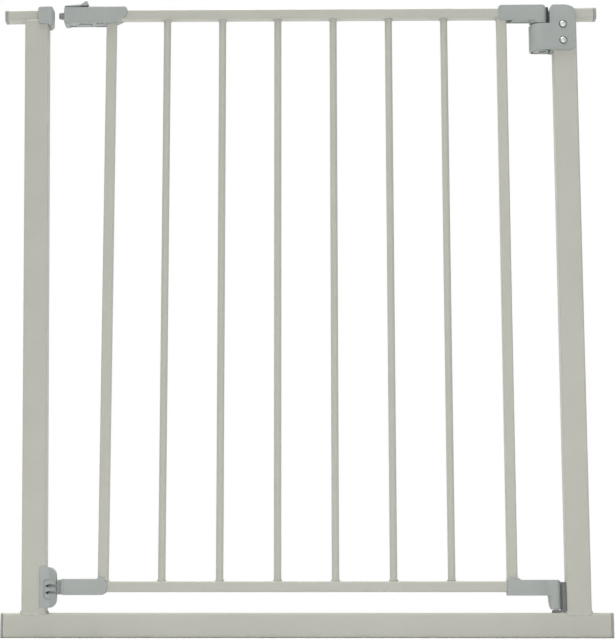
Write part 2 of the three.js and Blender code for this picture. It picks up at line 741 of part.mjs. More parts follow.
// The bolt: a tip with a ramp each side, a carriage, and a post behind it for the spring.
function latchBolt() {
  const { tip, height, width, middle, carriageLeft, carriageRight } = bolt;
  const plan = new THREE.Shape();
  plan.moveTo(carriageLeft + 1, -width / 2);
  plan.lineTo(carriageLeft + 1, width / 2);
  plan.lineTo(tip + 5, width / 2);
  plan.quadraticCurveTo(tip, width / 4, tip, 0);
  plan.quadraticCurveTo(tip, -width / 4, tip + 5, -width / 2);
  plan.lineTo(carriageLeft + 1, -width / 2);
  const nose = raised(plan, middle - height / 2, middle + height / 2, 0.7);
  const carriage = block(carriageLeft, carriageRight, -6, 5, 739.2, 749.6);
  const post = new THREE.CylinderGeometry(2, 2, 10, 20);
  post.rotateZ(Math.PI / 2);
  post.translate(carriageRight + 4.5, 0, doorTopRailMiddle);
  const stemPocket = block(
    sliderStem.left - gap,
    sliderStem.right + gap,
    -sliderStem.half - gap,
    sliderStem.half + gap,
    sliderStem.low - 0.4,
    760,
  );
  const toothGroove = block(carriageLeft - 5, carriageRight + 5, -2, 2, 730, 741.4);
  return cut(joined(nose, carriage, solid(post)), stemPocket, toothGroove);
}

// The plate on the housing's top, its wedge-shaped thumb tab, and the stem into the bolt.
function thumbSlider() {
  const low = housing.high + 0.3;
  const left = housing.left + 0.3;
  const right = left + slider.length;
  const peak = low + slider.tab;
  const side = new THREE.Shape();
  side.moveTo(left, low);
  side.lineTo(right - 12, low);
  side.lineTo(right - 9, low + 1.1);
  side.lineTo(right - 0.4, low + 1.3);
  side.lineTo(right, low + 1.6);
  side.lineTo(right - 1.4, peak - 1.6);
  side.quadraticCurveTo(right - 2.6, peak + 0.5, right - 4.6, peak - 0.7);
  side.lineTo(right - 9.6, low + 2.6);
  side.lineTo(left + 1, low + 1);
  side.lineTo(left, low + 0.5);
  side.lineTo(left, low);
  const plate = deep(side, slider.front, slider.back);
  const stem = block(
    sliderStem.left,
    sliderStem.right,
    -sliderStem.half,
    sliderStem.half,
    sliderStem.low,
    low + 0.4,
  );
  return plate.add(stem);
}

// The button under the housing: its pad, the flange that keeps it in, its guide tooth and the
// spring leaf moulded in one with it.
function safetyTrigger() {
  const floor = housing.low + skin + 0.3;
  const pad = deep(
    roundedOutline(trigger.left, trigger.right, trigger.low, floor + 0.5, [1.6, 1.6, 0, 0]),
    -trigger.half,
    trigger.half,
  );
  const flange = block(
    trigger.left - 1.6,
    trigger.right + 0.7,
    -trigger.half - 1.4,
    trigger.half + 1,
    floor,
    floor + 1.2,
  );
  const tooth = block(-266, -262, -1.4, 1.4, floor + 1, 739.4);
  const leaf = block(-289, trigger.left, -3, 3, floor, floor + 0.8);
  return joined(pad, flange, tooth, leaf);
}

class Helix extends THREE.Curve {
  constructor(radius, turns, length) {
    super();
    this.radius = radius;
    this.turns = turns;
    this.length = length;
  }

  getPoint(t, target = new THREE.Vector3()) {
    const angle = t * this.turns * 2 * Math.PI;
    return target.set(t * this.length, this.radius * Math.cos(angle), this.radius * Math.sin(angle));
  }
}

const latchSpringShape = { radius: 3, wire: 0.8, turns: 8 };

function latchSpring() {
  const { radius, wire, turns } = latchSpringShape;
  const start = bolt.carriageRight + wire / 2 + gap;
  const end = rearScrewX.latchHousing - rearScrew.shank / 2 - wire / 2 - gap;
  const section = new THREE.Shape();
  section.absarc(0, 0, wire / 2, 0, 2 * Math.PI, false);
  const geometry = new THREE.ExtrudeGeometry(section, {
    steps: turns * 12,
    bevelEnabled: false,
    curveSegments: 3,
    extrudePath: new Helix(radius, turns, end - start),
  });
  geometry.translate(start, 0, doorTopRailMiddle);
  return solid(geometry);
}

// ---------------------------------------------------------------- hinge arm, cam and upper pin

const arm = { left: 233, right: 291.2, low: 734.8, high: 753.8, half: 8.6, hubLeft: 270.6, hubLow: 731.4 };
const armStep = 277.5;            // its front runs down over the hub from here
const armSlot = 5.6;
const armRib = { width: 1.3, first: 251.2, pitch: 5, rise: 0.9 };
const armEndRound = 4;
const armNeck = { half: 7.5, round: 4.6, from: 262.6, to: 268.6 };  // clears the hinge block as it swings
const cam = { radius: 5.5, tip: 7.7, lobeHalf: 4, low: 735.5, high: 751.6, apronLow: 732.2 };

function camPlan(spread) {
  const half = cam.lobeHalf + spread;
  const radius = cam.radius + spread;
  const start = Math.asin(half / radius);
  const shape = new THREE.Shape();
  shape.absarc(axisX, 0, radius, start, 2 * Math.PI - start, false);
  return { shape, half };
}

function hingeArm() {
  const { left, right, low, high, half, hubLeft, hubLow } = arm;
  const face = new THREE.Shape();
  const faceLow = hubLow - 0.1;
  face.moveTo(left + armEndRound, low);
  face.lineTo(armStep - 0.4, low);
  face.lineTo(armStep, low - 0.4);
  face.lineTo(armStep, faceLow);
  face.lineTo(right - 1.8, faceLow);
  face.absarc(right - 1.8, faceLow + 1.8, 1.8, -Math.PI / 2, 0, false);
  face.lineTo(right, high - 6);
  face.absarc(right - 6, high - 6, 6, 0, Math.PI / 2, false);
  face.lineTo(left + armEndRound, high);
  face.absarc(left + armEndRound, high - armEndRound, armEndRound, Math.PI / 2, Math.PI, false);
  face.lineTo(left, low + armEndRound);
  face.absarc(left + armEndRound, low + armEndRound, armEndRound, Math.PI, 1.5 * Math.PI, false);
  const sleeve = deep(face, -half, half, 1.4, 6);
  const endMiddle = right - armNeck.round;
  const endSide = armNeck.half - armNeck.round;
  const neckPlan = new THREE.Shape();
  neckPlan.moveTo(left - 1, -half - 1);
  neckPlan.lineTo(armNeck.from, -half - 1);
  neckPlan.lineTo(armNeck.to, -armNeck.half);
  neckPlan.lineTo(endMiddle, -armNeck.half);
  neckPlan.absarc(endMiddle, -endSide, armNeck.round, -Math.PI / 2, 0, false);
  neckPlan.absarc(endMiddle, endSide, armNeck.round, 0, Math.PI / 2, false);
  neckPlan.lineTo(armNeck.to, armNeck.half);
  neckPlan.lineTo(armNeck.from, half + 1);
  neckPlan.lineTo(left - 1, half + 1);
  neckPlan.lineTo(left - 1, -half - 1);
  const hubHalf = armNeck.half - 0.4;
  const hubRound = hubHalf - 0.1;
  const hubPlan = roundedOutline(hubLeft, right - 0.6, -hubHalf, hubHalf, [hubRound, 3, 3, hubRound]);
  const hub = raised(hubPlan, hubLow, high - 8, 0.6, 5);
  let body = sleeve.intersect(raised(neckPlan, faceLow - 1, high + 1, 0, 5)).add(hub);

  const railHalf = tube.size / 2 + gap;
  const railUnder = doorTop - tube.size;
  const railEnd = topRailEnd.hinge + 1;
  const railRoom = block(left - 5, railEnd, -railHalf, railHalf, railUnder - gap, doorTop + gap);
  const stileSide = hingeStile + railHalf;
  const stileRoom = block(left - 5, stileSide + smallWeld, -railHalf, railHalf, low - 5, railUnder);
  const slotRight = stileSide + armSlot;
  const deepSlot = block(stileSide, slotRight, -railHalf, railHalf, low - 5, railUnder);
  const shallow = block(slotRight + 1, hubLeft - 0.5, -railHalf, railHalf, low - 5, low + armRib.rise);
  body = cut(body, railRoom, stileRoom, deepSlot, shallow);
  for (const count of [0, 1, 2]) {
    const x = armRib.first + count * armRib.pitch;
    const rib = block(x, x + armRib.width, -half + skin, half - skin, low + 0.4, low + armRib.rise + 0.5);
    body = body.add(rib);
  }

  // the pocket of the cam, open to the right, and the pin's hole under it
  const { shape, half: slotHalf } = camPlan(gap);
  const pocket = raised(shape, cam.low - gap, cam.high + gap, 0, 12);
  const slot = block(axisX, right + 5, -slotHalf, slotHalf, cam.low - gap, cam.high + gap);
  const pinHole = rod(axisX, 0, pinDiameter + 2 * gap, hubLow - 5, cam.low + 5);
  return withRearScrew(cut(body, pocket, slot, pinHole), rearScrewX.hingeArm, doorTopRailMiddle, half);
}

// The cam's lobe fills the gap beside the hinge block. Its tip is an arc and its apron hangs
// clear of the arm.
function hingeCam() {
  const { shape } = camPlan(0);
  const core = raised(shape, cam.low, cam.high, 0, 12);
  const lobeEnd = axisX + cam.tip + 0.1;
  const lobeFace = new THREE.Shape();
  lobeFace.moveTo(axisX, cam.low);
  lobeFace.lineTo(arm.right + gap, cam.low);
  lobeFace.lineTo(arm.right + gap, cam.apronLow);
  lobeFace.lineTo(lobeEnd, cam.apronLow);
  lobeFace.lineTo(lobeEnd, cam.high - 1);
  lobeFace.lineTo(lobeEnd - 1, cam.high);
  lobeFace.lineTo(axisX, cam.high);
  lobeFace.lineTo(axisX, cam.low);
  const sweep = rod(axisX, 0, 2 * cam.tip, cam.apronLow - 1, cam.high + 1, 48);
  const lobe = deep(lobeFace, -cam.lobeHalf, cam.lobeHalf).intersect(sweep);
  const bore = rod(axisX, 0, pinDiameter + 2 * gap, cam.low - 1, cam.high - 2);
  return cut(joined(core, lobe), bore);
}

function upperPivotPin() {
  return rod(axisX, 0, pinDiameter, 702, cam.high - 2.5);
}

// ---------------------------------------------------------------- lower catch arm and its tongue

const catchArm = { left: -283.3, right: -229.1, low: 48.8, high: 67.2, half: 8.8, taper: 4.4, endHalf: 6.7 };

function lowerCatchArm() {
  const { left, right, low, high, half } = catchArm;
  const face = new THREE.Shape();
  const round = (high - low) / 2;
  face.moveTo(left + 2.6, low);
  face.lineTo(right - round, low);
  face.absarc(right - round, low + round, round, -Math.PI / 2, Math.PI / 4, false);
  face.quadraticCurveTo(-233, 69, -236, 69.2);
  face.quadraticCurveTo(-240, 69.2, -241.5, high);
  face.lineTo(left + 2.6, high);
  face.absarc(left + 2.6, high - 2.6, 2.6, Math.PI / 2, Math.PI, false);
  face.lineTo(left, low + 2.6);
  face.absarc(left + 2.6, low + 2.6, 2.6, Math.PI, 1.5 * Math.PI, false);
  const { taper, endHalf } = catchArm;
  const plan = new THREE.Shape();
  plan.moveTo(left - 1, -endHalf);
  plan.lineTo(left, -endHalf);
  plan.lineTo(left + taper, -half - 0.1);
  plan.lineTo(right + 1, -half - 0.1);
  plan.lineTo(right + 1, half + 0.1);
  plan.lineTo(left + taper, half + 0.1);
  plan.lineTo(left, endHalf);
  plan.lineTo(left - 1, endHalf);
  plan.lineTo(left - 1, -endHalf);
  const outside = deep(face, -half, half, 1.3, 6).intersect(raised(plan, low - 1, high + 5));

  const railHalf = tube.size / 2 + gap;
  const railRoom = block(bottomRailEnd.latch - gap, right + 5, -railHalf, railHalf,
    doorBottom - gap, doorBottom + tube.size + gap);
  const stileRoom = block(latchStile - railHalf - smallWeld, right + 5, -railHalf, railHalf,
    doorBottom + tube.size, high + 5);
  const stemHole = block(left - 5, bottomRailEnd.latch, -tongue.stemHalf - gap, tongue.stemHalf + gap,
    doorBottomRailMiddle - tongue.stemHalf - gap, doorBottomRailMiddle + tongue.stemHalf + gap);
  const body = cut(outside, railRoom, stileRoom, stemHole);
  return withRearScrew(body, rearScrewX.catchArm, doorBottomRailMiddle, half);
}

const tongue = {
  neckLeft: -287.8,
  neckHalf: 6.2,
  neckLow: 49.4,
  neckHigh: 66.4,
  neckCorner: 3,
  finTip: -297.8,
  stemHalf: 4.6,
  stemEnd: -266,
  fin: 1.8,
  finHalf: 4.6,
};

function lowerCatchTongue() {
  const neckRight = catchArm.left - gap;
  const { neckHalf, neckLow, neckHigh, neckCorner } = tongue;
  const section = roundedOutline(-neckHalf, neckHalf, neckLow, neckHigh, neckCorner);
  const neck = long(section, tongue.neckLeft, neckRight, 0.5);
  const stem = block(tongue.neckLeft + 1, tongue.stemEnd, -tongue.stemHalf, tongue.stemHalf,
    doorBottomRailMiddle - tongue.stemHalf, doorBottomRailMiddle + tongue.stemHalf);
  let body = joined(neck, stem);
  const { finTip, neckLeft, finHalf } = tongue;
  const finPlan = roundedOutline(finTip, neckLeft + 1, -finHalf, finHalf, [1.5, 0, 0, 1.5]);
  const lift = (catchShape.nose - 4) * Math.sin(latchUprightLean);  // the lean raises the grooves
  for (const height of catchGroove.heights) {
    const z = rail.height + height + lift;
    body = body.add(raised(finPlan, z - tongue.fin / 2, z + tongue.fin / 2));
  }
  return body.subtract(block(rearScrewX.catchArm - 30, rearScrewX.catchArm - 9, -2, 2, 40, 57));
}

// ---------------------------------------------------------------- lower hinge foot and its pin

const foot = { left: 230.8, right: 292.7, low: 48.1, high: 66, half: 8.8, legLow: 32.4, legLeft: 281.3 };
// round the pin the foot is narrow, so that it turns beside the bearing's wall
const footEnd = { half: 6.2, from: 275.4, to: 277.6, legLeft: 277.4 };

function lowerHingeFoot() {
  const { left, right, low, high, half, legLow, legLeft } = foot;
  const face = new THREE.Shape();
  face.moveTo(left, low);
  face.lineTo(273.5, low);
  face.quadraticCurveTo(278, low, 278.1, 44.6);
  face.quadraticCurveTo(277.8, 37.5, legLeft, legLow);
  face.lineTo(right - 1, legLow);
  face.lineTo(right, legLow + 1);
  face.lineTo(right, high - 4.5);
  face.absarc(right - 4.5, high - 4.5, 4.5, 0, Math.PI / 2, false);
  const stileSide = hingeStile + stileWidth / 2;
  face.lineTo(stileSide + 4.5, high);
  face.quadraticCurveTo(stileSide + 2, high + 0.3, stileSide + 1.5, high + 2);
  face.lineTo(left, high + 2);
  face.lineTo(left, low);
  const end = footEnd.half;
  const plan = new THREE.Shape();
  plan.moveTo(left - 1, -half - 1);
  plan.lineTo(footEnd.from, -half - 1);
  plan.lineTo(footEnd.to, -end);
  plan.lineTo(axisX, -end);
  plan.absarc(axisX, 0, end, -Math.PI / 2, Math.PI / 2, false);
  plan.lineTo(footEnd.to, end);
  plan.lineTo(footEnd.from, half + 1);
  plan.lineTo(left - 1, half + 1);
  plan.lineTo(left - 1, -half - 1);
  const legPlan = roundedOutline(footEnd.legLeft, right + 1, -end, end, [end - 0.1, 0, 0, end - 0.1]);
  const besideLeg = block(left - 2, axisX, -half - 1, half + 1, legLow - 2, low - 0.05);
  const outside = deep(face, -half, half, 0.9)
    .intersect(raised(plan, legLow - 1, high + 5, 0, 6))
    .subtract(besideLeg.subtract(raised(legPlan, legLow - 3, low + 1, 0, 6)));

  const railHalf = tube.size / 2 + gap;
  const railRoom = block(left - 5, bottomRailEnd.hinge + gap, -railHalf, railHalf,
    doorBottom - gap, doorBottom + tube.size + gap);
  const stileRoom = block(left - 5, hingeStile + railHalf + smallWeld, -railHalf, railHalf,
    doorBottom + tube.size, high + 5);
  const pinHole = rod(axisX, 0, pinDiameter + 2 * gap, legLow - 5, 47);
  const undersidePocket = block(hingeStile + 12, 262, -railHalf + 1, railHalf - 1, low - 5, doorBottom);
  const body = cut(outside, railRoom, stileRoom, pinHole, undersidePocket);
  return withRearScrew(body, rearScrewX.hingeFoot, doorBottomRailMiddle, half);
}

function lowerPivotPin() {
  return rod(axisX, 0, pinDiameter, pivotCup.floor + 2.2, 46.5);
}

// ---------------------------------------------------------------- assembly

const gate = new THREE.Group();
const frame = new THREE.Group();
const leaningSide = new THREE.Group();
const door = new THREE.Group();
leaningSide.position.set(latchUprightFoot, 0, rail.height);
leaningSide.rotation.y = -latchUprightLean;
frame.add(leaningSide);
gate.add(frame, door);

function place(parent, name, body, material) {
  const mesh = new THREE.Mesh(body.isBufferGeometry ? body : geometryOf(body), material);
  mesh.name = name;
  parent.add(mesh);
  return mesh;
}

place(frame, 'bottom_rail', bottomRail(), paint);
place(frame, 'hinge_upright', hingeUpright(), paint);
place(leaningSide, 'latch_upright', latchUpright(), paint);
place(leaningSide, 'latch_top_stub', stubTube(latchStub.x0, latchStub.x1, latchStub.z), paint);
const hingeStubEnd = frameWidth / 2 - stubPlug.flange - gap;
place(frame, 'hinge_top_stub', stubTube(hingeFace + gap, hingeStubEnd, stubMiddle), paint);

const rightRailPlug = place(frame, 'bottom_right_plug', railEndPlug(), darkPlastic);
rightRailPlug.position.set(frameWidth / 2 - railPlug.flange, 0, rail.height / 2);
const leftRailPlug = place(frame, 'bottom_left_plug', railEndPlug(), darkPlastic);
leftRailPlug.position.set(-frameWidth / 2 + railPlug.flange, 0, rail.height / 2);
leftRailPlug.rotation.z = Math.PI;
const rightStubPlug = place(frame, 'top_right_plug', stubEndPlug(), darkPlastic);
rightStubPlug.position.set(frameWidth / 2 - stubPlug.flange, 0, stubMiddle);
const leftStubPlug = place(leaningSide, 'top_left_plug', stubEndPlug(), darkPlastic);
leftStubPlug.position.set(latchStub.x0 - gap, 0, latchStub.z);
leftStubPlug.rotation.z = Math.PI;

place(leaningSide, 'strike_cap', strikeCap(), greyPlastic);
place(leaningSide, 'lower_catch', lowerCatch(), greyPlastic);
place(frame, 'hinge_block', hingeBlockBody(), greyPlastic);
const screwNames = ['hinge_screw_upper', 'hinge_screw_lower'];
screwNames.forEach((name, index) => {
  const seat = hingeBlock.front + 0.9 - gap;
  place(frame, name, panScrew(blockScrewX, blockScrewHeights[index], seat, -1, blockScrew), zinc);
});
place(frame, 'hinge_bush', hingeBush(), blackPlastic);
place(frame, 'lower_pivot_cup', lowerPivotCup(), blackPlastic);

place(door, 'gate_top_rail', topRail(), paint);
place(door, 'gate_bottom_rail', bottomRailOfDoor(), paint);
place(door, 'gate_latch_stile', stile(latchStile, [-1, 1], []), paint);
place(door, 'gate_hinge_stile', stile(hingeStile, [-1, 1], [-1, 1]), paint);
for (let count = 0; count < barCount; count += 1) {
  const x = barMiddle + (count - (barCount - 1) / 2) * barPitch;
  place(door, `bar_${count + 1}`, doorBar(), paint).position.x = x;
}

place(door, 'latch_housing', latchHousing(), greyPlastic);
place(door, 'latch_bolt', latchBolt(), darkPlastic);
place(door, 'thumb_slider', thumbSlider(), greyPlastic);
place(door, 'safety_trigger', safetyTrigger(), greyPlastic);
place(door, 'latch_spring', latchSpring(), springSteel);
place(door, 'hinge_arm', hingeArm(), greyPlastic);
place(door, 'hinge_cam', hingeCam(), blackPlastic);
place(door, 'upper_pivot_pin', upperPivotPin(), zinc);
place(door, 'lower_catch_arm', lowerCatchArm(), greyPlastic);
place(door, 'lower_catch_tongue', lowerCatchTongue(), darkPlastic);
place(door, 'lower_hinge_foot', lowerHingeFoot(), greyPlastic);
place(door, 'lower_pivot_pin', lowerPivotPin(), zinc);

const rearScrews = [
  ['latch_housing_screw', rearScrewX.latchHousing, doorTopRailMiddle, housing.back],
  ['hinge_arm_screw', rearScrewX.hingeArm, doorTopRailMiddle, arm.half],
  ['catch_arm_screw', rearScrewX.catchArm, doorBottomRailMiddle, catchArm.half],
  ['hinge_foot_screw', rearScrewX.hingeFoot, doorBottomRailMiddle, foot.half],
];
for (const [name, x, z, back] of rearScrews) {
  place(door, name, panScrew(x, z, back - rearRecess + gap, 1, rearScrew), zinc);
}

export default gate;
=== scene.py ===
import json
import math

import bmesh
import bpy
from mathutils import Matrix, Vector, geometry, noise
from mathutils.bvhtree import BVHTree


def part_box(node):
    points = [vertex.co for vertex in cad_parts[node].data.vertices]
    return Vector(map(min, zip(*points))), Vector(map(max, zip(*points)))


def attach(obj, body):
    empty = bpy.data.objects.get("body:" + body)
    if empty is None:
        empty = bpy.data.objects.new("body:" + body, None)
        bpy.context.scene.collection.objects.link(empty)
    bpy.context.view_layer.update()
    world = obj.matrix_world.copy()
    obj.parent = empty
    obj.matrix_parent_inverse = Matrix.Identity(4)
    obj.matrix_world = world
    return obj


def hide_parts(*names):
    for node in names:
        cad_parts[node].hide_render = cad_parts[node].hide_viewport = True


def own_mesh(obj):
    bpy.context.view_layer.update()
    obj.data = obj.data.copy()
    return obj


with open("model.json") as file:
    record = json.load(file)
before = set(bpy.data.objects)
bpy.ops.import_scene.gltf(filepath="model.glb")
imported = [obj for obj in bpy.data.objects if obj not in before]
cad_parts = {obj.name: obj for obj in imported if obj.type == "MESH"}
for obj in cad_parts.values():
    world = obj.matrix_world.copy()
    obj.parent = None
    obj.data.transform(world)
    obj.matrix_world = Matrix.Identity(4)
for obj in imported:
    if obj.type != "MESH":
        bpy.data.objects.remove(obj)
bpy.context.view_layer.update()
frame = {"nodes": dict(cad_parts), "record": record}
print("frame loaded,", len(frame["nodes"]), "nodes")

scene = bpy.context.scene
scene.view_settings.view_transform = "Standard"

mm = 0.001


# camera: low in front of the gate, looking up along it
cameraView = {
    "location": (0.0037, -2.098, 0.034),
    "lookUp": 9.09,        # degrees above level
    "turn": 0.81,          # degrees to the left
    "lens": 101.25,
    "shiftX": 0.0369,
    "sensorWidth": 36,
}


def makeCamera():
    data = bpy.data.cameras.new("camera")
    data.sensor_width = cameraView["sensorWidth"]
    data.lens = cameraView["lens"]
    data.shift_x = cameraView["shiftX"]
    camera = bpy.data.objects.new("camera", data)
    camera.location = cameraView["location"]
    camera.rotation_euler = (
        math.radians(90 + cameraView["lookUp"]),
        0,
        math.radians(cameraView["turn"]),
    )
    scene.collection.objects.link(camera)
    scene.camera = camera


makeCamera()
print("camera set")


def linearOf(hexColour):
    # an sRGB hex colour as the linear values that a shader takes
    channels = [int(hexColour[i:i + 2], 16) / 255 for i in (1, 3, 5)]
    return tuple(c / 12.92 if c <= 0.04045 else ((c + 0.055) / 1.055) ** 2.4 for c in channels) + (1,)


def addNode(tree, kind, inputs=None, **settings):
    # a node with its settings, and its inputs either set or linked
    node = tree.nodes.new(kind)
    for name, value in settings.items():
        setattr(node, name, value)
    for name, value in (inputs or {}).items():
        if isinstance(value, bpy.types.NodeSocket):
            tree.links.new(value, node.inputs[name])
        else:
            node.inputs[name].default_value = value
    return node


# how every finish varies
finish = {
    "octaves": 3.0,
    "octaveShare": 0.55,
    "toneFrom": 0.3,         # the part of the pattern over which one tone turns into the other
    "toneTo": 0.7,
    "glossier": 0.05,        # how far the roughness strays down and up
    "duller": 0.07,
}


def patternOf(tree, grain):
    # a noise whose lumps are about grain millimetres across, in the piece's own coordinates
    place = addNode(tree, "ShaderNodeTexCoord").outputs["Object"]
    pattern = addNode(tree, "ShaderNodeTexNoise", {
        "Vector": place,
        "Scale": 1 / (grain * mm),
        "Detail": finish["octaves"],
        "Roughness": finish["octaveShare"],
    })
    return pattern.outputs["Fac"]


def rampOf(tree, factor, low, high):
    # a colour that goes from low to high as the factor rises
    ramp = addNode(tree, "ShaderNodeValToRGB", {"Fac": factor})
    ramp.color_ramp.elements[0].position = finish["toneFrom"]
    ramp.color_ramp.elements[1].position = finish["toneTo"]
    ramp.color_ramp.elements[0].color = low
    ramp.color_ramp.elements[1].color = high
    return ramp.outputs["Color"]


def rangeOf(tree, factor, low, high):
    # a value that goes from low to high as the factor rises
    spread = addNode(tree, "ShaderNodeMapRange", {"Value": factor, "To Min": low, "To Max": high})
    return spread.outputs["Result"]


def surface(name, low, high, patch, roughness, grain, relief, metallic=0.0, ior=1.5):
    # colour drifts between two close tones, and a finer pattern lifts the skin and varies its gloss;
    # patch, grain and relief are in millimetres
    material = bpy.data.materials.new(name)
    material.use_nodes = True
    tree = material.node_tree
    tree.nodes.clear()
    drift = patternOf(tree, patch)
    skin = patternOf(tree, grain)
    bump = addNode(tree, "ShaderNodeBump", {"Height": skin, "Strength": 1.0, "Distance": relief * mm})
    shader = addNode(tree, "ShaderNodeBsdfPrincipled", {
        "Base Color": rampOf(tree, drift, linearOf(low), linearOf(high)),
        "Roughness": rangeOf(tree, skin, roughness - finish["glossier"], roughness + finish["duller"]),
        "Metallic": metallic,
        "IOR": ior,
        "Normal": bump.outputs["Normal"],
    })
    addNode(tree, "ShaderNodeOutputMaterial", {"Surface": shader.outputs["BSDF"]})
    return material


# polyester powder coat on rolled steel tube: a thick satin film, a faint orange peel 3 mm across
powderCoat = surface("powderCoat", "#babab0", "#bebeb4", patch=60, roughness=0.42, grain=3.0,
                     relief=0.02, ior=1.52)

# the same coat over a weld bead: it runs thin on the lumps, so they shine a little more
coatedWeld = surface("coatedWeld", "#b4b5aa", "#c4c4ba", patch=4, roughness=0.3, grain=1.6,
                     relief=0.08, ior=1.52)

# glass-filled nylon from a spark-eroded mould: matt with a fine even grain, drawn as coarse as
# 0.7 mm so that it shows
mouldedNylon = surface("mouldedNylon", "#a2a8a5", "#a9aeab", patch=25, roughness=0.5, grain=0.7,
                       relief=0.03)

# the same nylon from a smoother mould: darker, and a little glossier from sliding
slidingNylon = surface("slidingNylon", "#868c8a", "#8e9391", patch=10, roughness=0.42, grain=0.9,
                       relief=0.015)

# the end plugs: a softer nylon in a darker grey, smooth from a polished mould
plugNylon = surface("plugNylon", "#979996", "#9fa19e", patch=12, roughness=0.4, grain=1.2, relief=0.012)

# black acetal of the bearings: waxy, slightly glossy; on the hinge cam its near-black is also painted shade
# for the dark gap between the hinge arm and block
blackAcetalAndGapShade = surface("blackAcetalAndGapShade", "#121314", "#1a1b1c", patch=8, roughness=0.4, grain=0.8,
                      relief=0.015, ior=1.48)

# the lower bearing's dark grey nylon; its dark wall fills the dark strip between the hinge foot and the
# upright, so its tone is partly painted shade
bearingNylonAndShade = surface("bearingNylonAndShade", "#686a69", "#747675", patch=6, roughness=0.5, grain=0.8, relief=0.02)

# bright zinc plate on turned steel: a pale metal with a soft cloudy bloom
zincPlate = surface("zincPlate", "#b9bbba", "#cbccca", patch=2, roughness=0.3, grain=0.8,
                    relief=0.01, metallic=1.0)

# drawn spring wire: grey steel, a little dull from the drawing
springWire = surface("springWire", "#8d8f91", "#9a9c9e", patch=3, roughness=0.3, grain=0.5,
                     relief=0.01, metallic=1.0)

print("materials made,", len(bpy.data.materials))


def meshOf(name, bm):
    # a bmesh as a new object
    mesh = bpy.data.meshes.new(name)
    bm.to_mesh(mesh)
    bm.free()
    made = bpy.data.objects.new(name, mesh)
    scene.collection.objects.link(made)
    return made


def addPiece(name, body, material, bm, nodes=(), smoothAngle=40):
    # the finished mesh as one object on its body, in place of its CAD nodes
    piece = meshOf(name, bm)
    piece.data.materials.append(material)
    piece.data.shade_smooth()
    piece.data.set_sharp_from_angle(angle=math.radians(smoothAngle))
    flat = piece.modifiers.new("flatFaces", "WEIGHTED_NORMAL")
    flat.keep_sharp = True
    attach(piece, body)
    if nodes:
        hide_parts(*nodes)
    return piece


def settled(bm):
    # the same shape with its corners and faces in a fixed order, whatever order a cut left them in;
    # corners go by their place to a micrometre
    digits = 6
    ordered = sorted(bm.verts, key=lambda vert: tuple(round(value, digits) for value in vert.co))
    number = {vert: count for count, vert in enumerate(ordered)}
    rings = []
    for face in bm.faces:
        ring = [number[vert] for vert in face.verts]
        first = ring.index(min(ring))
        rings.append(ring[first:] + ring[:first])
    made = bmesh.new()
    verts = [made.verts.new(vert.co) for vert in ordered]
    for ring in sorted(rings):
        made.faces.new([verts[count] for count in ring])
    made.normal_update()
    bm.free()
    return made


def carved(bm, cutter):
    # one closed shape less another
    blank = meshOf("blank", bm)
    tool = meshOf("tool", cutter)
    cut = blank.modifiers.new("cut", "BOOLEAN")
    cut.object = tool
    cut.operation = "DIFFERENCE"
    cut.solver = "EXACT"
    cut.use_self = True
    bpy.context.view_layer.update()
    rest = bmesh.new()
    rest.from_mesh(blank.evaluated_get(bpy.context.evaluated_depsgraph_get()).to_mesh())
    bpy.data.objects.remove(blank)
    bpy.data.objects.remove(tool)
    return settled(rest)


# tubes: rolled from strip, so their long edges are round
rolled = {
    "steps": 8,
    "parallel": 0.999,       # cosine past which an edge or a face's normal lies along an axis
}


def edgesAlong(bm, axis):
    # the edges that run along one axis
    found = []
    for edge in bm.edges:
        run = (edge.verts[1].co - edge.verts[0].co).normalized()
        if abs(run[axis]) > rolled["parallel"]:
            found.append(edge)
    return found


def tubeAlong(axis, centre, size, corner):
    # a tube's outer body with its long edges rolled round, as a bmesh
    bm = bmesh.new()
    bmesh.ops.create_cube(bm, size=1)
    bmesh.ops.scale(bm, vec=size, verts=bm.verts)
    bmesh.ops.bevel(
        bm,
        geom=edgesAlong(bm, axis),
        offset=corner,
        segments=rolled["steps"],
        profile=0.5,
        affect="EDGES",
        material=-1,
    )
    bmesh.ops.translate(bm, vec=centre, verts=bm.verts)
    return bm


def hollowTube(axis, centre, size, corner, wall):
    # the same with open ends and a wall
    bm = tubeAlong(axis, centre, size, corner)
    caps = [face for face in bm.faces if abs(face.normal[axis]) > rolled["parallel"]]
    bmesh.ops.delete(bm, geom=caps, context="FACES")
    bmesh.ops.solidify(bm, geom=bm.faces, thickness=wall)
    return bm


def turned(bm, outline, centre, axis, steps, closed=True):
    # an outline turned round an axis, as on a lathe
    verts = [bm.verts.new(place) for place in outline]
    ends = verts[:1] if closed else []
    edges = [bm.edges.new(pair) for pair in zip(verts, verts[1:] + ends)]
    bmesh.ops.spin(
        bm,
        geom=verts + edges,
        cent=centre,
        axis=axis,
        angle=math.radians(360),
        steps=steps,
        use_merge=True,
    )


def sewn(bm, within=0.001 * mm):
    # doubles merged, and every face turned outwards
    bmesh.ops.remove_doubles(bm, verts=bm.verts, dist=within)
    bmesh.ops.recalc_face_normals(bm, faces=bm.faces)


def evenly(points, step, closed=True):
    # points at even steps along a run of straight lines, without the last end of an open run
    placed = []
    ends = points[:1] if closed else []
    for start, end in zip(points, points[1:] + ends):
        count = max(1, round((end - start).length / step))
        placed += [start.lerp(end, n / count) for n in range(count)]
    return placed


def ringRound(middle, halfX, halfY, corner, step):
    # the outline of a tube's section, as points that run round it
    points = []
    cornerParts = 4
    for quarter, (sideX, sideY) in enumerate([(1, 1), (-1, 1), (-1, -1), (1, -1)]):
        for part in range(cornerParts + 1):
            turn = math.radians(90 * (quarter + part / cornerParts))
            x = sideX * (halfX - corner) + corner * math.cos(turn)
            y = sideY * (halfY - corner) + corner * math.sin(turn)
            points.append(Vector(middle) + Vector((x, y, 0)))
    return evenly(points, step)


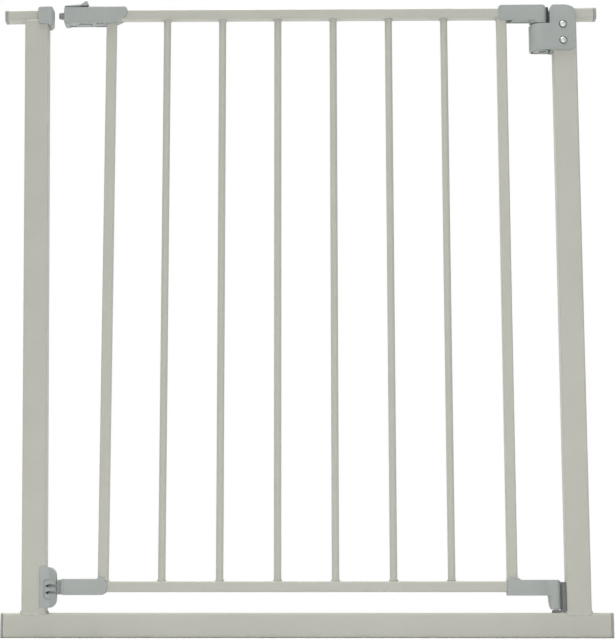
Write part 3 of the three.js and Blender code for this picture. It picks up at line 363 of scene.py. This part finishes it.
weldBeads = {
    "footBead": 0.0014,         # half the width of the bead at an upright's foot
    "footInset": 0.975,         # its ring, as a share of the upright's depth
    "footLift": 0.0006,         # the ring's height above the rail, in the middle of the rail
    "edgeLift": 0.0012,         # and over the rail's rounded edges
    "edgeFrom": 0.008,
    "dressed": 0.6,             # how much of the foot bead is ground away at the front
    "shoulder": 0.0019,         # the bead between an upright's top and its stub
    "shoulderIn": 0.0001,       # below the upright's front
    "shoulderShort": 0.0012,    # it stops this far from the upright's edge
    "shoulderUnderCap": 0.001,
    "shoulderLumps": 0.12,
    "inCorner": 0.0013,         # the bead under the stub, beside the upright
    "cornerIn": 0.0003,
    "cornerPast": 0.0007,       # it runs this far past the stub
    "cornerLumps": 0.5,
    "stubDressed": 0.95,
    "stileBead": 0.0010,        # round the ends of the door's stiles
    "barBead": 0.0009,          # round the ends of its bars
    "ripple": 0.0011,           # between two ripples of a bead
    "rippleSwell": 0.12,
    "lumpsPerMetre": 260,
    "unevenness": 0.55,
    "lumpLift": 0.25,
    "bevelSteps": 3,
    "thinned": 0.15,            # a lumpy bead is this much thinner between its lumps
}


def beadAlong(points, radius, closed=True, seed=0.0, lumps=1.0):
    # a lumpy round bead laid along points, with the ripples that a weld pool leaves
    curve = bpy.data.curves.new("bead", "CURVE")
    curve.dimensions = "3D"
    curve.bevel_depth = radius
    curve.bevel_resolution = weldBeads["bevelSteps"]
    curve.use_fill_caps = not closed
    spline = curve.splines.new("POLY")
    spline.points.add(len(points) - 1)
    spline.use_cyclic_u = closed
    for count, (point, place) in enumerate(zip(spline.points, points)):
        lump = noise.noise(place * weldBeads["lumpsPerMetre"] + Vector((seed, 0, 0))) * lumps
        ripple = weldBeads["rippleSwell"] * lumps if count % 2 else 0.0
        point.co = (*(place + Vector((0, 0, lump * radius * weldBeads["lumpLift"]))), 1)
        point.radius = 1 - weldBeads["thinned"] * lumps + weldBeads["unevenness"] * lump + ripple
    made = bpy.data.objects.new("bead", curve)
    scene.collection.objects.link(made)
    bpy.context.view_layer.update()
    bm = bmesh.new()
    bm.from_mesh(made.evaluated_get(bpy.context.evaluated_depsgraph_get()).to_mesh())
    bpy.data.objects.remove(made)
    sewn(bm)
    return bm


def added(bm, other):
    # puts the faces of one mesh beside another's
    mesh = bpy.data.meshes.new("part")
    other.to_mesh(mesh)
    other.free()
    bm.from_mesh(mesh)
    bpy.data.meshes.remove(mesh)


# the leaning side of the frame: its pieces are made upright and then tipped about the foot
leftMount = [m for m in frame["record"]["mounts"] if m["name"] == "wall_top_left"][0]
railLow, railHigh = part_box("bottom_rail")
latchSide = {
    "foot": Vector((-0.3133, 0, railHigh.z)),
    "lean": math.asin(-leftMount["axis"][2]),
}
leanMatrix = Matrix.Translation(latchSide["foot"]) @ Matrix.Rotation(-latchSide["lean"], 4, "Y")

frameTubes = {
    "cupHole": 0.0104,          # in the top of the floor rail, for the lower pivot's cup
    "cupHoleSides": 40,
    "railCorner": 0.003,
    "railWall": 0.0015,
    "uprightWidth": 0.0284,
    "uprightDepth": 0.020,
    "uprightCorner": 0.0026,
    "uprightWall": 0.0015,
    "stub": 0.015,
    "stubCorner": 0.0035,
    "stubWall": 0.0013,
    "hingeMiddle": 0.3123,
    "latchStubZ": 0.7151,       # above the leaning upright's foot
    "stubLeft": -0.035,
    "stubRight": 0.010,
    "weldedGap": 0.0003,
    "saddleLength": 0.1,        # of the rail's shape that is cut out of an upright's foot
}


def railTopAt(y):
    # how high the floor rail's rounded top stands at y
    corner = frameTubes["railCorner"]
    over = abs(y) - (railHigh.y - corner)
    if over <= 0:
        return railHigh.z
    return railHigh.z - corner + math.sqrt(max(corner ** 2 - over ** 2, 0))


def boxTube(name, node, axis, corner, wall, body):
    # a straight tube that fills its CAD node's box
    low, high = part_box(node)
    bm = hollowTube(axis, (low + high) / 2, high - low, corner, wall)
    addPiece(name, body, powderCoat, bm, [node])


def dress(bm, half, share):
    # grinds back whatever stands proud of a tube's front and back
    for vert in bm.verts:
        proud = abs(vert.co.y) - half
        if proud > 0:
            vert.co.y -= math.copysign(proud * share, vert.co.y)


def uprightPiece(name, node, middle, top, lean):
    # an upright whose foot is cut to the floor rail's rounded top, and the bead that welds it there
    values = frameTubes
    gap = values["weldedGap"]
    size = (values["uprightWidth"], values["uprightDepth"], top)
    bm = hollowTube(2, (0, 0, top / 2 - values["railCorner"]), size, values["uprightCorner"],
                    values["uprightWall"])
    bmesh.ops.transform(bm, matrix=lean, verts=bm.verts)
    depth = railHigh.y - railLow.y + 2 * gap
    height = railHigh.z + 2 * gap
    saddleSize = (values["saddleLength"], depth, height)
    saddle = tubeAlong(0, (middle, 0, railHigh.z / 2), saddleSize, values["railCorner"] + gap)
    addPiece(name + "Tube", "frame", powderCoat, carved(bm, saddle), [node])

    ring = ringRound((middle, 0, 0), values["uprightWidth"] / 2, values["uprightDepth"] / 2,
                     values["uprightCorner"], weldBeads["ripple"])
    for point in ring:
        lift = weldBeads["footLift"] if abs(point.y) < weldBeads["edgeFrom"] else weldBeads["edgeLift"]
        point.z = railTopAt(point.y) + lift
        point.y *= weldBeads["footInset"]
    bead = beadAlong(ring, weldBeads["footBead"], seed=middle)
    dress(bead, values["uprightDepth"] / 2, weldBeads["dressed"])
    addPiece(name + "FootWeld", "frame", coatedWeld, bead, smoothAngle=80)


def stubWeld(name, place, seam, left, right, outerSide):
    # the stub is narrower than the upright: a dressed bead makes a shoulder at the front and back,
    # and a small one closes the corner under the stub
    values = frameTubes
    beads = weldBeads
    bm = bmesh.new()
    for side in (-1, 1):
        y = side * (values["uprightDepth"] / 2 - beads["shoulder"] - beads["shoulderIn"])
        run = evenly([Vector((left, y, seam)), Vector((right, y, seam))], beads["ripple"], closed=False)
        bead = beadAlong(run, beads["shoulder"], closed=False, seed=side, lumps=beads["shoulderLumps"])
        added(bm, bead)
    x = outerSide * (values["uprightWidth"] / 2 - beads["cornerIn"])
    half = values["stub"] / 2 + beads["cornerPast"]
    run = evenly([Vector((x, -half, seam)), Vector((x, half, seam))], beads["ripple"], closed=False)
    added(bm, beadAlong(run, beads["inCorner"], closed=False, seed=x, lumps=beads["cornerLumps"]))
    dress(bm, values["uprightDepth"] / 2, beads["stubDressed"])
    bmesh.ops.transform(bm, matrix=place, verts=bm.verts)
    addPiece(name + "StubWeld", "frame", powderCoat, bm, smoothAngle=80)


def floorRail():
    # the rail, with a hole for the cup of the lower pivot, cut a third of the way down
    values = frameTubes
    size = railHigh - railLow
    rail = hollowTube(0, (railLow + railHigh) / 2, size, values["railCorner"], values["railWall"])
    pinLow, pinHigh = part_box("lower_pivot_pin")
    hole = bmesh.new()
    radius = values["cupHole"] / 2
    bmesh.ops.create_cone(hole, cap_ends=True, segments=values["cupHoleSides"], radius1=radius,
                          radius2=radius, depth=2 * railHigh.z / 3)
    bmesh.ops.translate(hole, vec=((pinLow.x + pinHigh.x) / 2, 0, railHigh.z), verts=hole.verts)
    addPiece("floorRailTube", "frame", powderCoat, carved(rail, hole), ["bottom_rail"])


def frameTubePieces():
    values = frameTubes
    floorRail()
    boxTube("hingeStubTube", "hinge_top_stub", 0, values["stubCorner"], values["stubWall"], "frame")

    low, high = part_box("hinge_upright")
    hingeFoot = Matrix.Translation((values["hingeMiddle"], 0, railHigh.z))
    hingeTop = high.z - railHigh.z + values["railCorner"]
    uprightPiece("hingeUpright", "hinge_upright", values["hingeMiddle"], hingeTop, hingeFoot)
    latchTop = values["latchStubZ"] - values["stub"] / 2 - values["weldedGap"] + values["railCorner"]
    uprightPiece("latchUpright", "latch_upright", latchSide["foot"].x, latchTop, leanMatrix)

    length = values["stubRight"] - values["stubLeft"]
    middle = (values["stubRight"] + values["stubLeft"]) / 2
    bm = hollowTube(0, (middle, 0, values["latchStubZ"]), (length, values["stub"], values["stub"]),
                    values["stubCorner"], values["stubWall"])
    bmesh.ops.transform(bm, matrix=leanMatrix, verts=bm.verts)
    addPiece("latchStubTube", "frame", powderCoat, bm, ["latch_top_stub"])

    edge = values["uprightWidth"] / 2 - weldBeads["shoulderShort"]
    seam = latchTop - values["railCorner"]
    stubWeld("latch", leanMatrix, seam, -edge, values["stubRight"] - weldBeads["shoulderUnderCap"], -1)
    seam = hingeTop - values["railCorner"]
    stubWeld("hinge", hingeFoot, seam, -edge, edge, 1)


frameTubePieces()
print("frame tubes made")


doorTubes = {
    "corner": 0.002,
    "wall": 0.0012,
    "stileWidth": 0.012,
    "stileDepth": 0.0125,
    "stileBeadIn": 0.0003,      # from the stile's end to the ring of its bead
    "stileBeadSunk": 0.0005,
    "latchStile": -0.2346,
    "hingeStile": 0.2369,
    "barRadius": 0.00435,
    "barWall": 0.001,
    "barSides": 40,
    "barBeadIn": 0.0006,
    "barBeadOut": 0.0002,
    "flareOut": 0.0009,
    "flareAlong": 0.0018,
    "flareParts": (0.25, 0.5, 0.75, 1.0),
    "bars": 6,
}


def stilePiece(name, node):
    # a square tube with a bead round each end
    values = doorTubes
    low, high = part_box(node)
    size = (values["stileWidth"], values["stileDepth"], high.z - low.z)
    bm = hollowTube(2, (values[name], 0, (low.z + high.z) / 2), size, values["corner"], values["wall"])
    for end, inward in ((low.z, 1), (high.z, -1)):
        place = (values[name], 0, end + inward * values["stileBeadIn"])
        halfDepth = values["stileDepth"] / 2 - values["stileBeadSunk"]
        ring = ringRound(place, values["stileWidth"] / 2, halfDepth, values["corner"], weldBeads["ripple"])
        added(bm, beadAlong(ring, weldBeads["stileBead"], seed=end))
    addPiece(name + "Tube", "gate", powderCoat, bm, [node])


def barPiece(count):
    # a thin round tube, turned with the flare of the weld at each end, and a bead round each
    values = doorTubes
    node = "bar_" + str(count)
    low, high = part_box(node)
    middle = (low + high) / 2
    radius = values["barRadius"]
    bore = radius - values["barWall"]
    half = (high.z - low.z) / 2
    outline = [(bore, -half), (radius + values["flareOut"], -half)]
    for part in values["flareParts"]:
        flare = values["flareOut"] * (1 - part) ** 2
        outline.append((radius + flare, -half + values["flareAlong"] * part))
    outline += [(x, -z) for x, z in reversed(outline)]
    bm = bmesh.new()
    turned(bm, [(x, 0, z) for x, z in outline], (0, 0, 0), (0, 0, 1), values["barSides"])
    sewn(bm)
    bmesh.ops.translate(bm, vec=middle, verts=bm.verts)
    ringHalf = radius + values["barBeadOut"]
    for z in (low.z + values["barBeadIn"], high.z - values["barBeadIn"]):
        ring = ringRound((middle.x, 0, z), ringHalf, ringHalf, radius, weldBeads["ripple"])
        added(bm, beadAlong(ring, weldBeads["barBead"], seed=z + count))
    addPiece("roundBar" + str(count), "gate", powderCoat, bm, [node])


boxTube("doorTopTube", "gate_top_rail", 0, doorTubes["corner"], doorTubes["wall"], "gate")
boxTube("doorBottomTube", "gate_bottom_rail", 0, doorTubes["corner"], doorTubes["wall"], "gate")
stilePiece("latchStile", "gate_latch_stile")
stilePiece("hingeStile", "gate_hinge_stile")
for barCount in range(1, doorTubes["bars"] + 1):
    barPiece(barCount)
print("door tubes and bars made")


# mouldings: the CAD shape with its sharp edges rounded as a mould leaves them
rounding = {
    "sharpest": 33,       # degrees between two faces, past which their edge is rounded
    "steps": 3,
    "room": 2.1,          # the least clear width beside an edge, as a multiple of the rounding
    "spots": (0.1, 0.5, 0.9),       # where along an edge its room is measured
    "straightOn": 0.7,    # cosine past which an edge at its end only carries it on
    "finer": 0.4,         # the second pass, where there was no room for the first
    "tries": 6,
    "nearFault": 1.6,     # edges this near a folded face are left sharp, as a multiple of the rounding
    "doubles": 0.000004,
    "flat": 1.5,          # degrees between two faces, under which they become one
    "smoothAngle": 42,
}


def roomBeside(edge):
    # how near the other borders of its two faces come to an edge
    start, end = (vert.co for vert in edge.verts)
    along = (end - start).normalized()
    room = math.inf
    for face in edge.link_faces:
        for other in face.edges:
            low, high = (vert.co for vert in other.verts)
            if other is edge:
                continue
            if set(edge.verts) & set(other.verts):
                if abs((high - low).normalized().dot(along)) < rounding["straightOn"]:
                    room = min(room, other.calc_length())
                continue
            for share in rounding["spots"]:
                spot = start.lerp(end, share)
                reach = geometry.intersect_point_line(spot, low, high)[1]
                room = min(room, (low.lerp(high, min(max(reach, 0), 1)) - spot).length)
    return room


def crossings(bm):
    # the middles of faces that cut through faces away from their own corners
    cut = bm.copy()
    bmesh.ops.triangulate(cut, faces=cut.faces)
    cut.faces.ensure_lookup_table()
    tree = BVHTree.FromBMesh(cut)
    spots = []
    for first, second in tree.overlap(tree):
        if not set(cut.faces[first].verts) & set(cut.faces[second].verts):
            spots.append(cut.faces[first].calc_center_median())
    cut.free()
    return spots


def rounded(bm, radius):
    # rounds every sharp edge that has room for it, and leaves out those that fold a face over
    chosen = [
        edge.index for edge in bm.edges
        if len(edge.link_faces) == 2
        and edge.calc_face_angle(0) > math.radians(rounding["sharpest"])
        and roomBeside(edge) > rounding["room"] * radius
    ]
    for _ in range(rounding["tries"]):
        made = bm.copy()
        made.edges.ensure_lookup_table()
        bmesh.ops.bevel(
            made,
            geom=[made.edges[index] for index in chosen],
            offset=radius,
            segments=rounding["steps"],
            profile=0.5,
            affect="EDGES",
            clamp_overlap=False,
            material=-1,
        )
        faults = crossings(made)
        if not faults:
            bm.free()
            return made
        made.free()
        bm.edges.ensure_lookup_table()
        kept = []
        for index in chosen:
            start, end = (vert.co for vert in bm.edges[index].verts)
            reaches = [(spot, geometry.intersect_point_line(spot, start, end)[1]) for spot in faults]
            nearest = min((start.lerp(end, min(max(reach, 0), 1)) - spot).length for spot, reach in reaches)
            if nearest > rounding["nearFault"] * radius:
                kept.append(index)
        chosen = kept
    return bm


toothEase = {"topBand": 0.0001, "down": 0.0002}


def easeTooth(bm):
    # the trigger's tooth stays just clear of its groove's roof when both are at their limits
    top = max(vert.co.z for vert in bm.verts)
    for vert in bm.verts:
        if vert.co.z > top - toothEase["topBand"]:
            vert.co.z -= toothEase["down"]


def softened(name, node, body, material, edge, cutter=None):
    # a moulding from its CAD node: cut where it has a cutter, then rounded twice, edge in millimetres
    bm = bmesh.new()
    bm.from_mesh(frame["nodes"][node].data)
    bmesh.ops.remove_doubles(bm, verts=bm.verts, dist=rounding["doubles"])
    if node == "safety_trigger":
        easeTooth(bm)
    if cutter:
        bm = carved(bm, cutter)
    flat = math.radians(rounding["flat"])
    bmesh.ops.dissolve_limit(bm, angle_limit=flat, verts=bm.verts, edges=bm.edges)
    bm = rounded(bm, edge * mm)
    bm = rounded(bm, edge * mm * rounding["finer"])
    addPiece(name, body, material, bm, [node], smoothAngle=rounding["smoothAngle"])


# the housing's top edge is rebated under the thumb slider, so that its plate has a dark slot below it
sliderRebate = {
    "low": 0.0014,
    "deep": 0.0032,
    "pastPlate": 0.003,
    "pastHousing": 0.002,       # how far the cutter reaches out of the moulding
}


def rebateCutter(node):
    values = sliderRebate
    low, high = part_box(node)
    plateLow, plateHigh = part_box("thumb_slider")
    past = values["pastHousing"]
    width = plateHigh.x - plateLow.x + values["pastPlate"]
    size = Vector((width, values["deep"] + past, values["low"] + past))
    corner = Vector((plateHigh.x - size.x, low.y + values["deep"] - size.y, high.z - values["low"]))
    bm = bmesh.new()
    bmesh.ops.create_cube(bm, size=1)
    bmesh.ops.scale(bm, vec=size, verts=bm.verts)
    bmesh.ops.translate(bm, vec=corner + size / 2, verts=bm.verts)
    return bm


# the foot and the arm of the hinge side draw in towards their pins along a curve; level 2 ends it
# parallel to the moulding's end, and level 0 lets it run into the end at a slant
drawnIn = {
    "lower_hinge_foot": {"from": 0.2635, "to": 0.2776, "endHalf": 0.0062, "level": 0},
    "hinge_arm": {"from": 0.2565, "to": 0.2686, "endHalf": 0.0075, "level": 2},
}
drawnInCut = {
    "steps": 8,
    "startOut": 0.00002,        # the curve starts this far outside the moulding's side
    "endIn": 0.00001,           # and ends this far inside its end
    "past": 0.001,              # how far the cutter reaches out of the moulding
}


def drawnInCutter(node):
    values = drawnIn[node]
    steps = drawnInCut["steps"]
    past = drawnInCut["past"]
    low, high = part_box(node)
    startHalf = high.y + drawnInCut["startOut"]
    endHalf = values["endHalf"] - drawnInCut["endIn"]
    outline = []
    for count in range(steps + 1):
        share = count / steps
        drop = share * share * (1 + values["level"] * (1 - share))
        place = values["from"] + share * (values["to"] - values["from"])
        outline.append((place, startHalf + (endHalf - startHalf) * drop))
    outline.append((high.x + past, endHalf))
    outline.append((high.x + past, high.y + past))
    outline.append((values["from"], high.y + past))
    bm = bmesh.new()
    for side in (-1, 1):
        face = bm.faces.new([bm.verts.new((x, side * y, low.z - past)) for x, y in outline])
        grown = bmesh.ops.extrude_face_region(bm, geom=[face])["geom"]
        top = [item for item in grown if isinstance(item, bmesh.types.BMVert)]
        bmesh.ops.translate(bm, vec=(0, 0, high.z - low.z + 2 * past), verts=top)
    bmesh.ops.recalc_face_normals(bm, faces=bm.faces)
    return bm


# round each screw of the hinge block the moulding drops to a narrow moat
screwMoat = {
    "inside": 0.0033,
    "outside": 0.0049,
    "depth": 0.0021,
    "past": 0.001,
    "steps": 40,
}


def moatCutter(node):
    values = screwMoat
    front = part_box(node)[0].y
    bm = bmesh.new()
    for screw in ("hinge_screw_upper", "hinge_screw_lower"):
        low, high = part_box(screw)
        middle = (low + high) / 2
        corners = [
            (values["inside"], front - values["past"]),
            (values["outside"], front - values["past"]),
            (values["outside"], front + values["depth"]),
            (values["inside"], front + values["depth"]),
        ]
        outline = [(middle.x + x, y, middle.z) for x, y in corners]
        turned(bm, outline, (middle.x, 0, middle.z), (0, 1, 0), values["steps"])
    sewn(bm)
    return bm


# name, CAD node, body, material, slot and the rounding of its edges in millimetres
mouldings = [
    ("floorRailPlugRight", "bottom_right_plug", "frame", plugNylon, "dark_moulding", 0.6),
    ("floorRailPlugLeft", "bottom_left_plug", "frame", plugNylon, "dark_moulding", 0.6),
    ("stubPlugRight", "top_right_plug", "frame", plugNylon, "dark_moulding", 1.1),
    ("stubPlugLeft", "top_left_plug", "frame", plugNylon, "dark_moulding", 1.1),
    ("strikeCap", "strike_cap", "frame", mouldedNylon, "grey_moulding", 0.6),
    ("lowerCatch", "lower_catch", "frame", mouldedNylon, "grey_moulding", 0.5),
    ("hingeBlock", "hinge_block", "frame", mouldedNylon, "grey_moulding", 0.6),
    ("hingeBush", "hinge_bush", "frame", blackAcetalAndGapShade, "black_moulding", 0.2),
    # the lower bearing: its dark grey partly stands in for the shade beside the upright, as painted shade
    ("lowerPivotCup", "lower_pivot_cup", "frame", bearingNylonAndShade, "black_moulding", 0.2),
    ("latchHousing", "latch_housing", "gate", mouldedNylon, "grey_moulding", 0.6),
    ("hingeArm", "hinge_arm", "gate", mouldedNylon, "grey_moulding", 0.6),
    # the hinge cam's near-black partly paints the shade in the gap between the hinge arm and block
    ("hingeCam", "hinge_cam", "gate", blackAcetalAndGapShade, "black_moulding", 0.3),
    ("catchArm", "lower_catch_arm", "gate", mouldedNylon, "grey_moulding", 0.5),
    ("catchTongue", "lower_catch_tongue", "gate", slidingNylon, "dark_moulding", 0.25),
    ("hingeFoot", "lower_hinge_foot", "gate", mouldedNylon, "grey_moulding", 0.5),
    ("latchBolt", "latch_bolt", "latch", slidingNylon, "dark_moulding", 0.3),
    ("thumbSlider", "thumb_slider", "latch", mouldedNylon, "grey_moulding", 0.25),
    ("safetyTrigger", "safety_trigger", "trigger", mouldedNylon, "grey_moulding", 0.25),
]
cutters = {
    "hingeBlock": moatCutter,
    "latchHousing": rebateCutter,
    "hingeArm": drawnInCutter,
    "hingeFoot": drawnInCutter,
}
for name, node, body, material, slot, edge in mouldings:
    cutter = cutters[name](node) if name in cutters else None
    softened(name, node, body, material, edge, cutter)
print("mouldings softened,", len(mouldings))


# pins, turned smooth
pins = {"sides": 48, "rim": 0.0005, "rimSteps": 2}


def roundPin(name, node, body):
    low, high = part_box(node)
    bm = bmesh.new()
    radius = (high.x - low.x) / 2
    bmesh.ops.create_cone(bm, cap_ends=True, segments=pins["sides"], radius1=radius, radius2=radius,
                          depth=high.z - low.z)
    bmesh.ops.translate(bm, vec=(low + high) / 2, verts=bm.verts)
    rims = [edge for edge in bm.edges if edge.calc_face_angle(0) > 1]
    bmesh.ops.bevel(bm, geom=rims, offset=pins["rim"], segments=pins["rimSteps"], profile=0.5,
                    affect="EDGES", material=-1)
    addPiece(name, body, zincPlate, bm, [node])


roundPin("upperPin", "upper_pivot_pin", "gate")
roundPin("lowerPin", "lower_pivot_pin", "gate")


# pan-head screws with a cross recess
screws = {
    "frontHead": 0.0076,
    "frontHeight": 0.0023,
    "frontShank": 0.004,
    "rearHead": 0.0056,
    "rearHeight": 0.0018,
    "rearShank": 0.003,
    "sides": 48,
    "crown": 0.6,            # the share of the head's height that is domed
    "crownAngles": (1.57, 1.2, 0.8, 0.4, 0.0),
    "pointIn": 0.0006,
    "pointLength": 0.0012,
    "slotLength": 0.62,      # of the head's width
    "slotWidth": 0.15,
    "slotDepth": 1.5,        # of the head's height, and so is its middle
    "slotMiddle": 1.1,
    "driverTip": (0.35, 0.6, 1),        # the driver's tip, as shares of its blade
    "turnPerMetre": 4000,    # degrees: each screw is left at its own angle
}


def crossCutter(width, depth):
    # two tapered blades that cross, as the driver's tip
    bm = bmesh.new()
    for turn in (0, 90):
        made = bmesh.ops.create_cube(bm, size=1)["verts"]
        blade = (width * screws["slotLength"], width * screws["slotWidth"], depth)
        bmesh.ops.scale(bm, vec=blade, verts=made)
        tip = [vert for vert in made if vert.co.z < 0]
        bmesh.ops.scale(bm, vec=screws["driverTip"], verts=tip)
        across = Matrix.Rotation(math.radians(turn), 3, "Z")
        bmesh.ops.rotate(bm, cent=(0, 0, 0), matrix=across, verts=made)
    return bm


def panScrew(name, node, side, head, height, shank, body):
    # half of its outline is turned round, from the point to the crown, and the recess is cut
    low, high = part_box(node)
    centre = (low + high) / 2
    length = high.y - low.y - height
    outline = [
        (0.0, -length),
        (shank / 2 - screws["pointIn"], -length),
        (shank / 2, -length + screws["pointLength"]),
        (shank / 2, 0.0),
        (head / 2, 0.0),
    ]
    for angle in screws["crownAngles"]:
        below = (1 - math.cos(angle)) * height * screws["crown"]
        outline.append((math.sin(angle) * head / 2, height - below))
    bm = bmesh.new()
    turned(bm, [(x, 0, z) for x, z in outline], (0, 0, 0), (0, 0, 1), screws["sides"], closed=False)
    sewn(bm, within=0.002 * mm)
    recess = crossCutter(head, height * screws["slotDepth"])
    bmesh.ops.translate(recess, vec=(0, 0, height * screws["slotMiddle"]), verts=recess.verts)
    bm = carved(bm, recess)
    turn = Matrix.Rotation(math.radians(90 if side < 0 else -90), 4, "X")
    seat = low.y + height if side < 0 else high.y - height
    driven = Matrix.Rotation(math.radians(sum(centre) * screws["turnPerMetre"] % 90), 4, "Z")
    place = Matrix.Translation((centre.x, seat, centre.z)) @ turn @ driven
    bmesh.ops.transform(bm, matrix=place, verts=bm.verts)
    addPiece(name, body, zincPlate, bm, [node], smoothAngle=35)


for name, node in [("upperHingeScrew", "hinge_screw_upper"), ("lowerHingeScrew", "hinge_screw_lower")]:
    panScrew(name, node, -1, screws["frontHead"], screws["frontHeight"], screws["frontShank"], "frame")
rearScrews = [
    ("latchHousingScrew", "latch_housing_screw"),
    ("hingeArmScrew", "hinge_arm_screw"),
    ("catchArmScrew", "catch_arm_screw"),
    ("hingeFootScrew", "hinge_foot_screw"),
]
for name, node in rearScrews:
    panScrew(name, node, 1, screws["rearHead"], screws["rearHeight"], screws["rearShank"], "gate")
print("pins and screws made")


# the spring behind the bolt: its end coils lie flat
boltSpring = {"wire": 0.0005, "coil": 0.00236, "turns": 9, "pointsPerTurn": 20}


def springPiece():
    values = boltSpring
    low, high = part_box("latch_spring")
    middle = (low + high) / 2
    span = high.x - low.x - values["wire"]
    points = []
    for count in range(values["turns"] * values["pointsPerTurn"] + 1):
        wound = count / values["pointsPerTurn"]
        if wound < 1:
            along = wound * values["wire"]
        elif wound > values["turns"] - 1:
            along = span - (values["turns"] - wound) * values["wire"]
        else:
            share = (wound - 1) / (values["turns"] - 2)
            along = values["wire"] + share * (span - 2 * values["wire"])
        turn = 2 * math.pi * wound
        points.append(Vector((
            low.x + values["wire"] / 2 + along,
            middle.y + values["coil"] * math.cos(turn),
            middle.z + values["coil"] * math.sin(turn),
        )))
    bm = beadAlong(points, values["wire"] / 2, closed=False, lumps=0)
    piece = addPiece("boltSpring", "gate", springWire, bm, ["latch_spring"], smoothAngle=60)
    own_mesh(piece)


springPiece()
print("bolt spring made")


# studio: a white paper floor and white surroundings, with three soft lamps
studio = {
    "ambient": 0.4,
    "floorSize": 14.0,
    "floorColour": (0.9, 0.9, 0.9, 1),
    "farGlow": 0.64,         # keeps the floor white where the overhead lamp fades
    "glowFrom": 0.6,
    "glowTo": 4.0,
    "overheadPower": 72,
    "overheadPlace": (-0.3, 0.05, 2.8),
    "overheadSize": 2.0,
    "overheadTarget": (0, 0, 0),
    "keyPower": 12,
    "keyPlace": (0.6, -3.4, 1.7),
    "keySize": 1.4,
    "keyTarget": (0, 0, 0.7),
    "bouncePower": 3.4,
    "bouncePlace": (0.1, -1.1, 0.03),
    "bounceSize": 1.1,
    "bounceTarget": (0.1, 0, 0.9),
}


def makeWorld():
    # white behind the gate, a softer white as light on it
    world = bpy.data.worlds.new("studioWorld")
    world.use_nodes = True
    tree = world.node_tree
    tree.nodes.clear()
    path = addNode(tree, "ShaderNodeLightPath")
    seen = addNode(tree, "ShaderNodeMath", {
        0: path.outputs["Is Camera Ray"],
        1: path.outputs["Is Glossy Ray"],
    }, operation="MAXIMUM")
    seen = addNode(tree, "ShaderNodeMath", {
        0: seen.outputs[0],
        1: path.outputs["Is Transmission Ray"],
    }, operation="MAXIMUM")
    strength = addNode(tree, "ShaderNodeMapRange", {
        "Value": seen.outputs[0],
        "To Min": studio["ambient"],
        "To Max": 1.0,
    })
    glow = addNode(tree, "ShaderNodeBackground", {
        "Color": (1, 1, 1, 1),
        "Strength": strength.outputs["Result"],
    })
    addNode(tree, "ShaderNodeOutputWorld", {"Surface": glow.outputs["Background"]})
    scene.world = world


def makeFloor():
    # matt white paper, whose glow far out is only seen and lights nothing
    bm = bmesh.new()
    bmesh.ops.create_grid(bm, x_segments=1, y_segments=1, size=studio["floorSize"] / 2)
    floor = meshOf("studioFloor", bm)
    material = bpy.data.materials.new("whitePaperFloor")
    material.use_nodes = True
    tree = material.node_tree
    tree.nodes.clear()
    path = addNode(tree, "ShaderNodeLightPath")
    matt = addNode(tree, "ShaderNodeBsdfDiffuse", {"Color": studio["floorColour"]})
    lift = addNode(tree, "ShaderNodeMath", {
        0: path.outputs["Is Camera Ray"],
        1: path.outputs["Is Glossy Ray"],
    }, operation="MAXIMUM")
    place = addNode(tree, "ShaderNodeTexCoord").outputs["Object"]
    reach = addNode(tree, "ShaderNodeVectorMath", {0: place}, operation="LENGTH")
    outward = addNode(tree, "ShaderNodeMapRange", {
        "Value": reach.outputs["Value"],
        "From Min": studio["glowFrom"],
        "From Max": studio["glowTo"],
        "To Max": studio["farGlow"],
    })
    share = addNode(tree, "ShaderNodeMath", {
        0: lift.outputs[0],
        1: outward.outputs["Result"],
    }, operation="MULTIPLY")
    glow = addNode(tree, "ShaderNodeEmission", {"Color": (1, 1, 1, 1), "Strength": share.outputs[0]})
    both = addNode(tree, "ShaderNodeAddShader", {0: matt.outputs[0], 1: glow.outputs[0]})
    addNode(tree, "ShaderNodeOutputMaterial", {"Surface": both.outputs[0]})
    floor.data.materials.append(material)


def makeLamp(name, place, size, power, target):
    # a soft round lamp that is not seen itself
    data = bpy.data.lights.new(name, "AREA")
    data.shape = "DISK"
    data.size = size
    data.energy = power
    lamp = bpy.data.objects.new(name, data)
    lamp.location = place
    aim = Vector(target) - Vector(place)
    lamp.rotation_euler = aim.to_track_quat("-Z", "Y").to_euler()
    lamp.visible_camera = False
    scene.collection.objects.link(lamp)


makeWorld()
makeFloor()
for lampName in ("overhead", "key", "bounce"):
    values = [studio[lampName + part] for part in ("Place", "Size", "Power", "Target")]
    makeLamp(lampName + "Lamp", *values)
print("studio made")
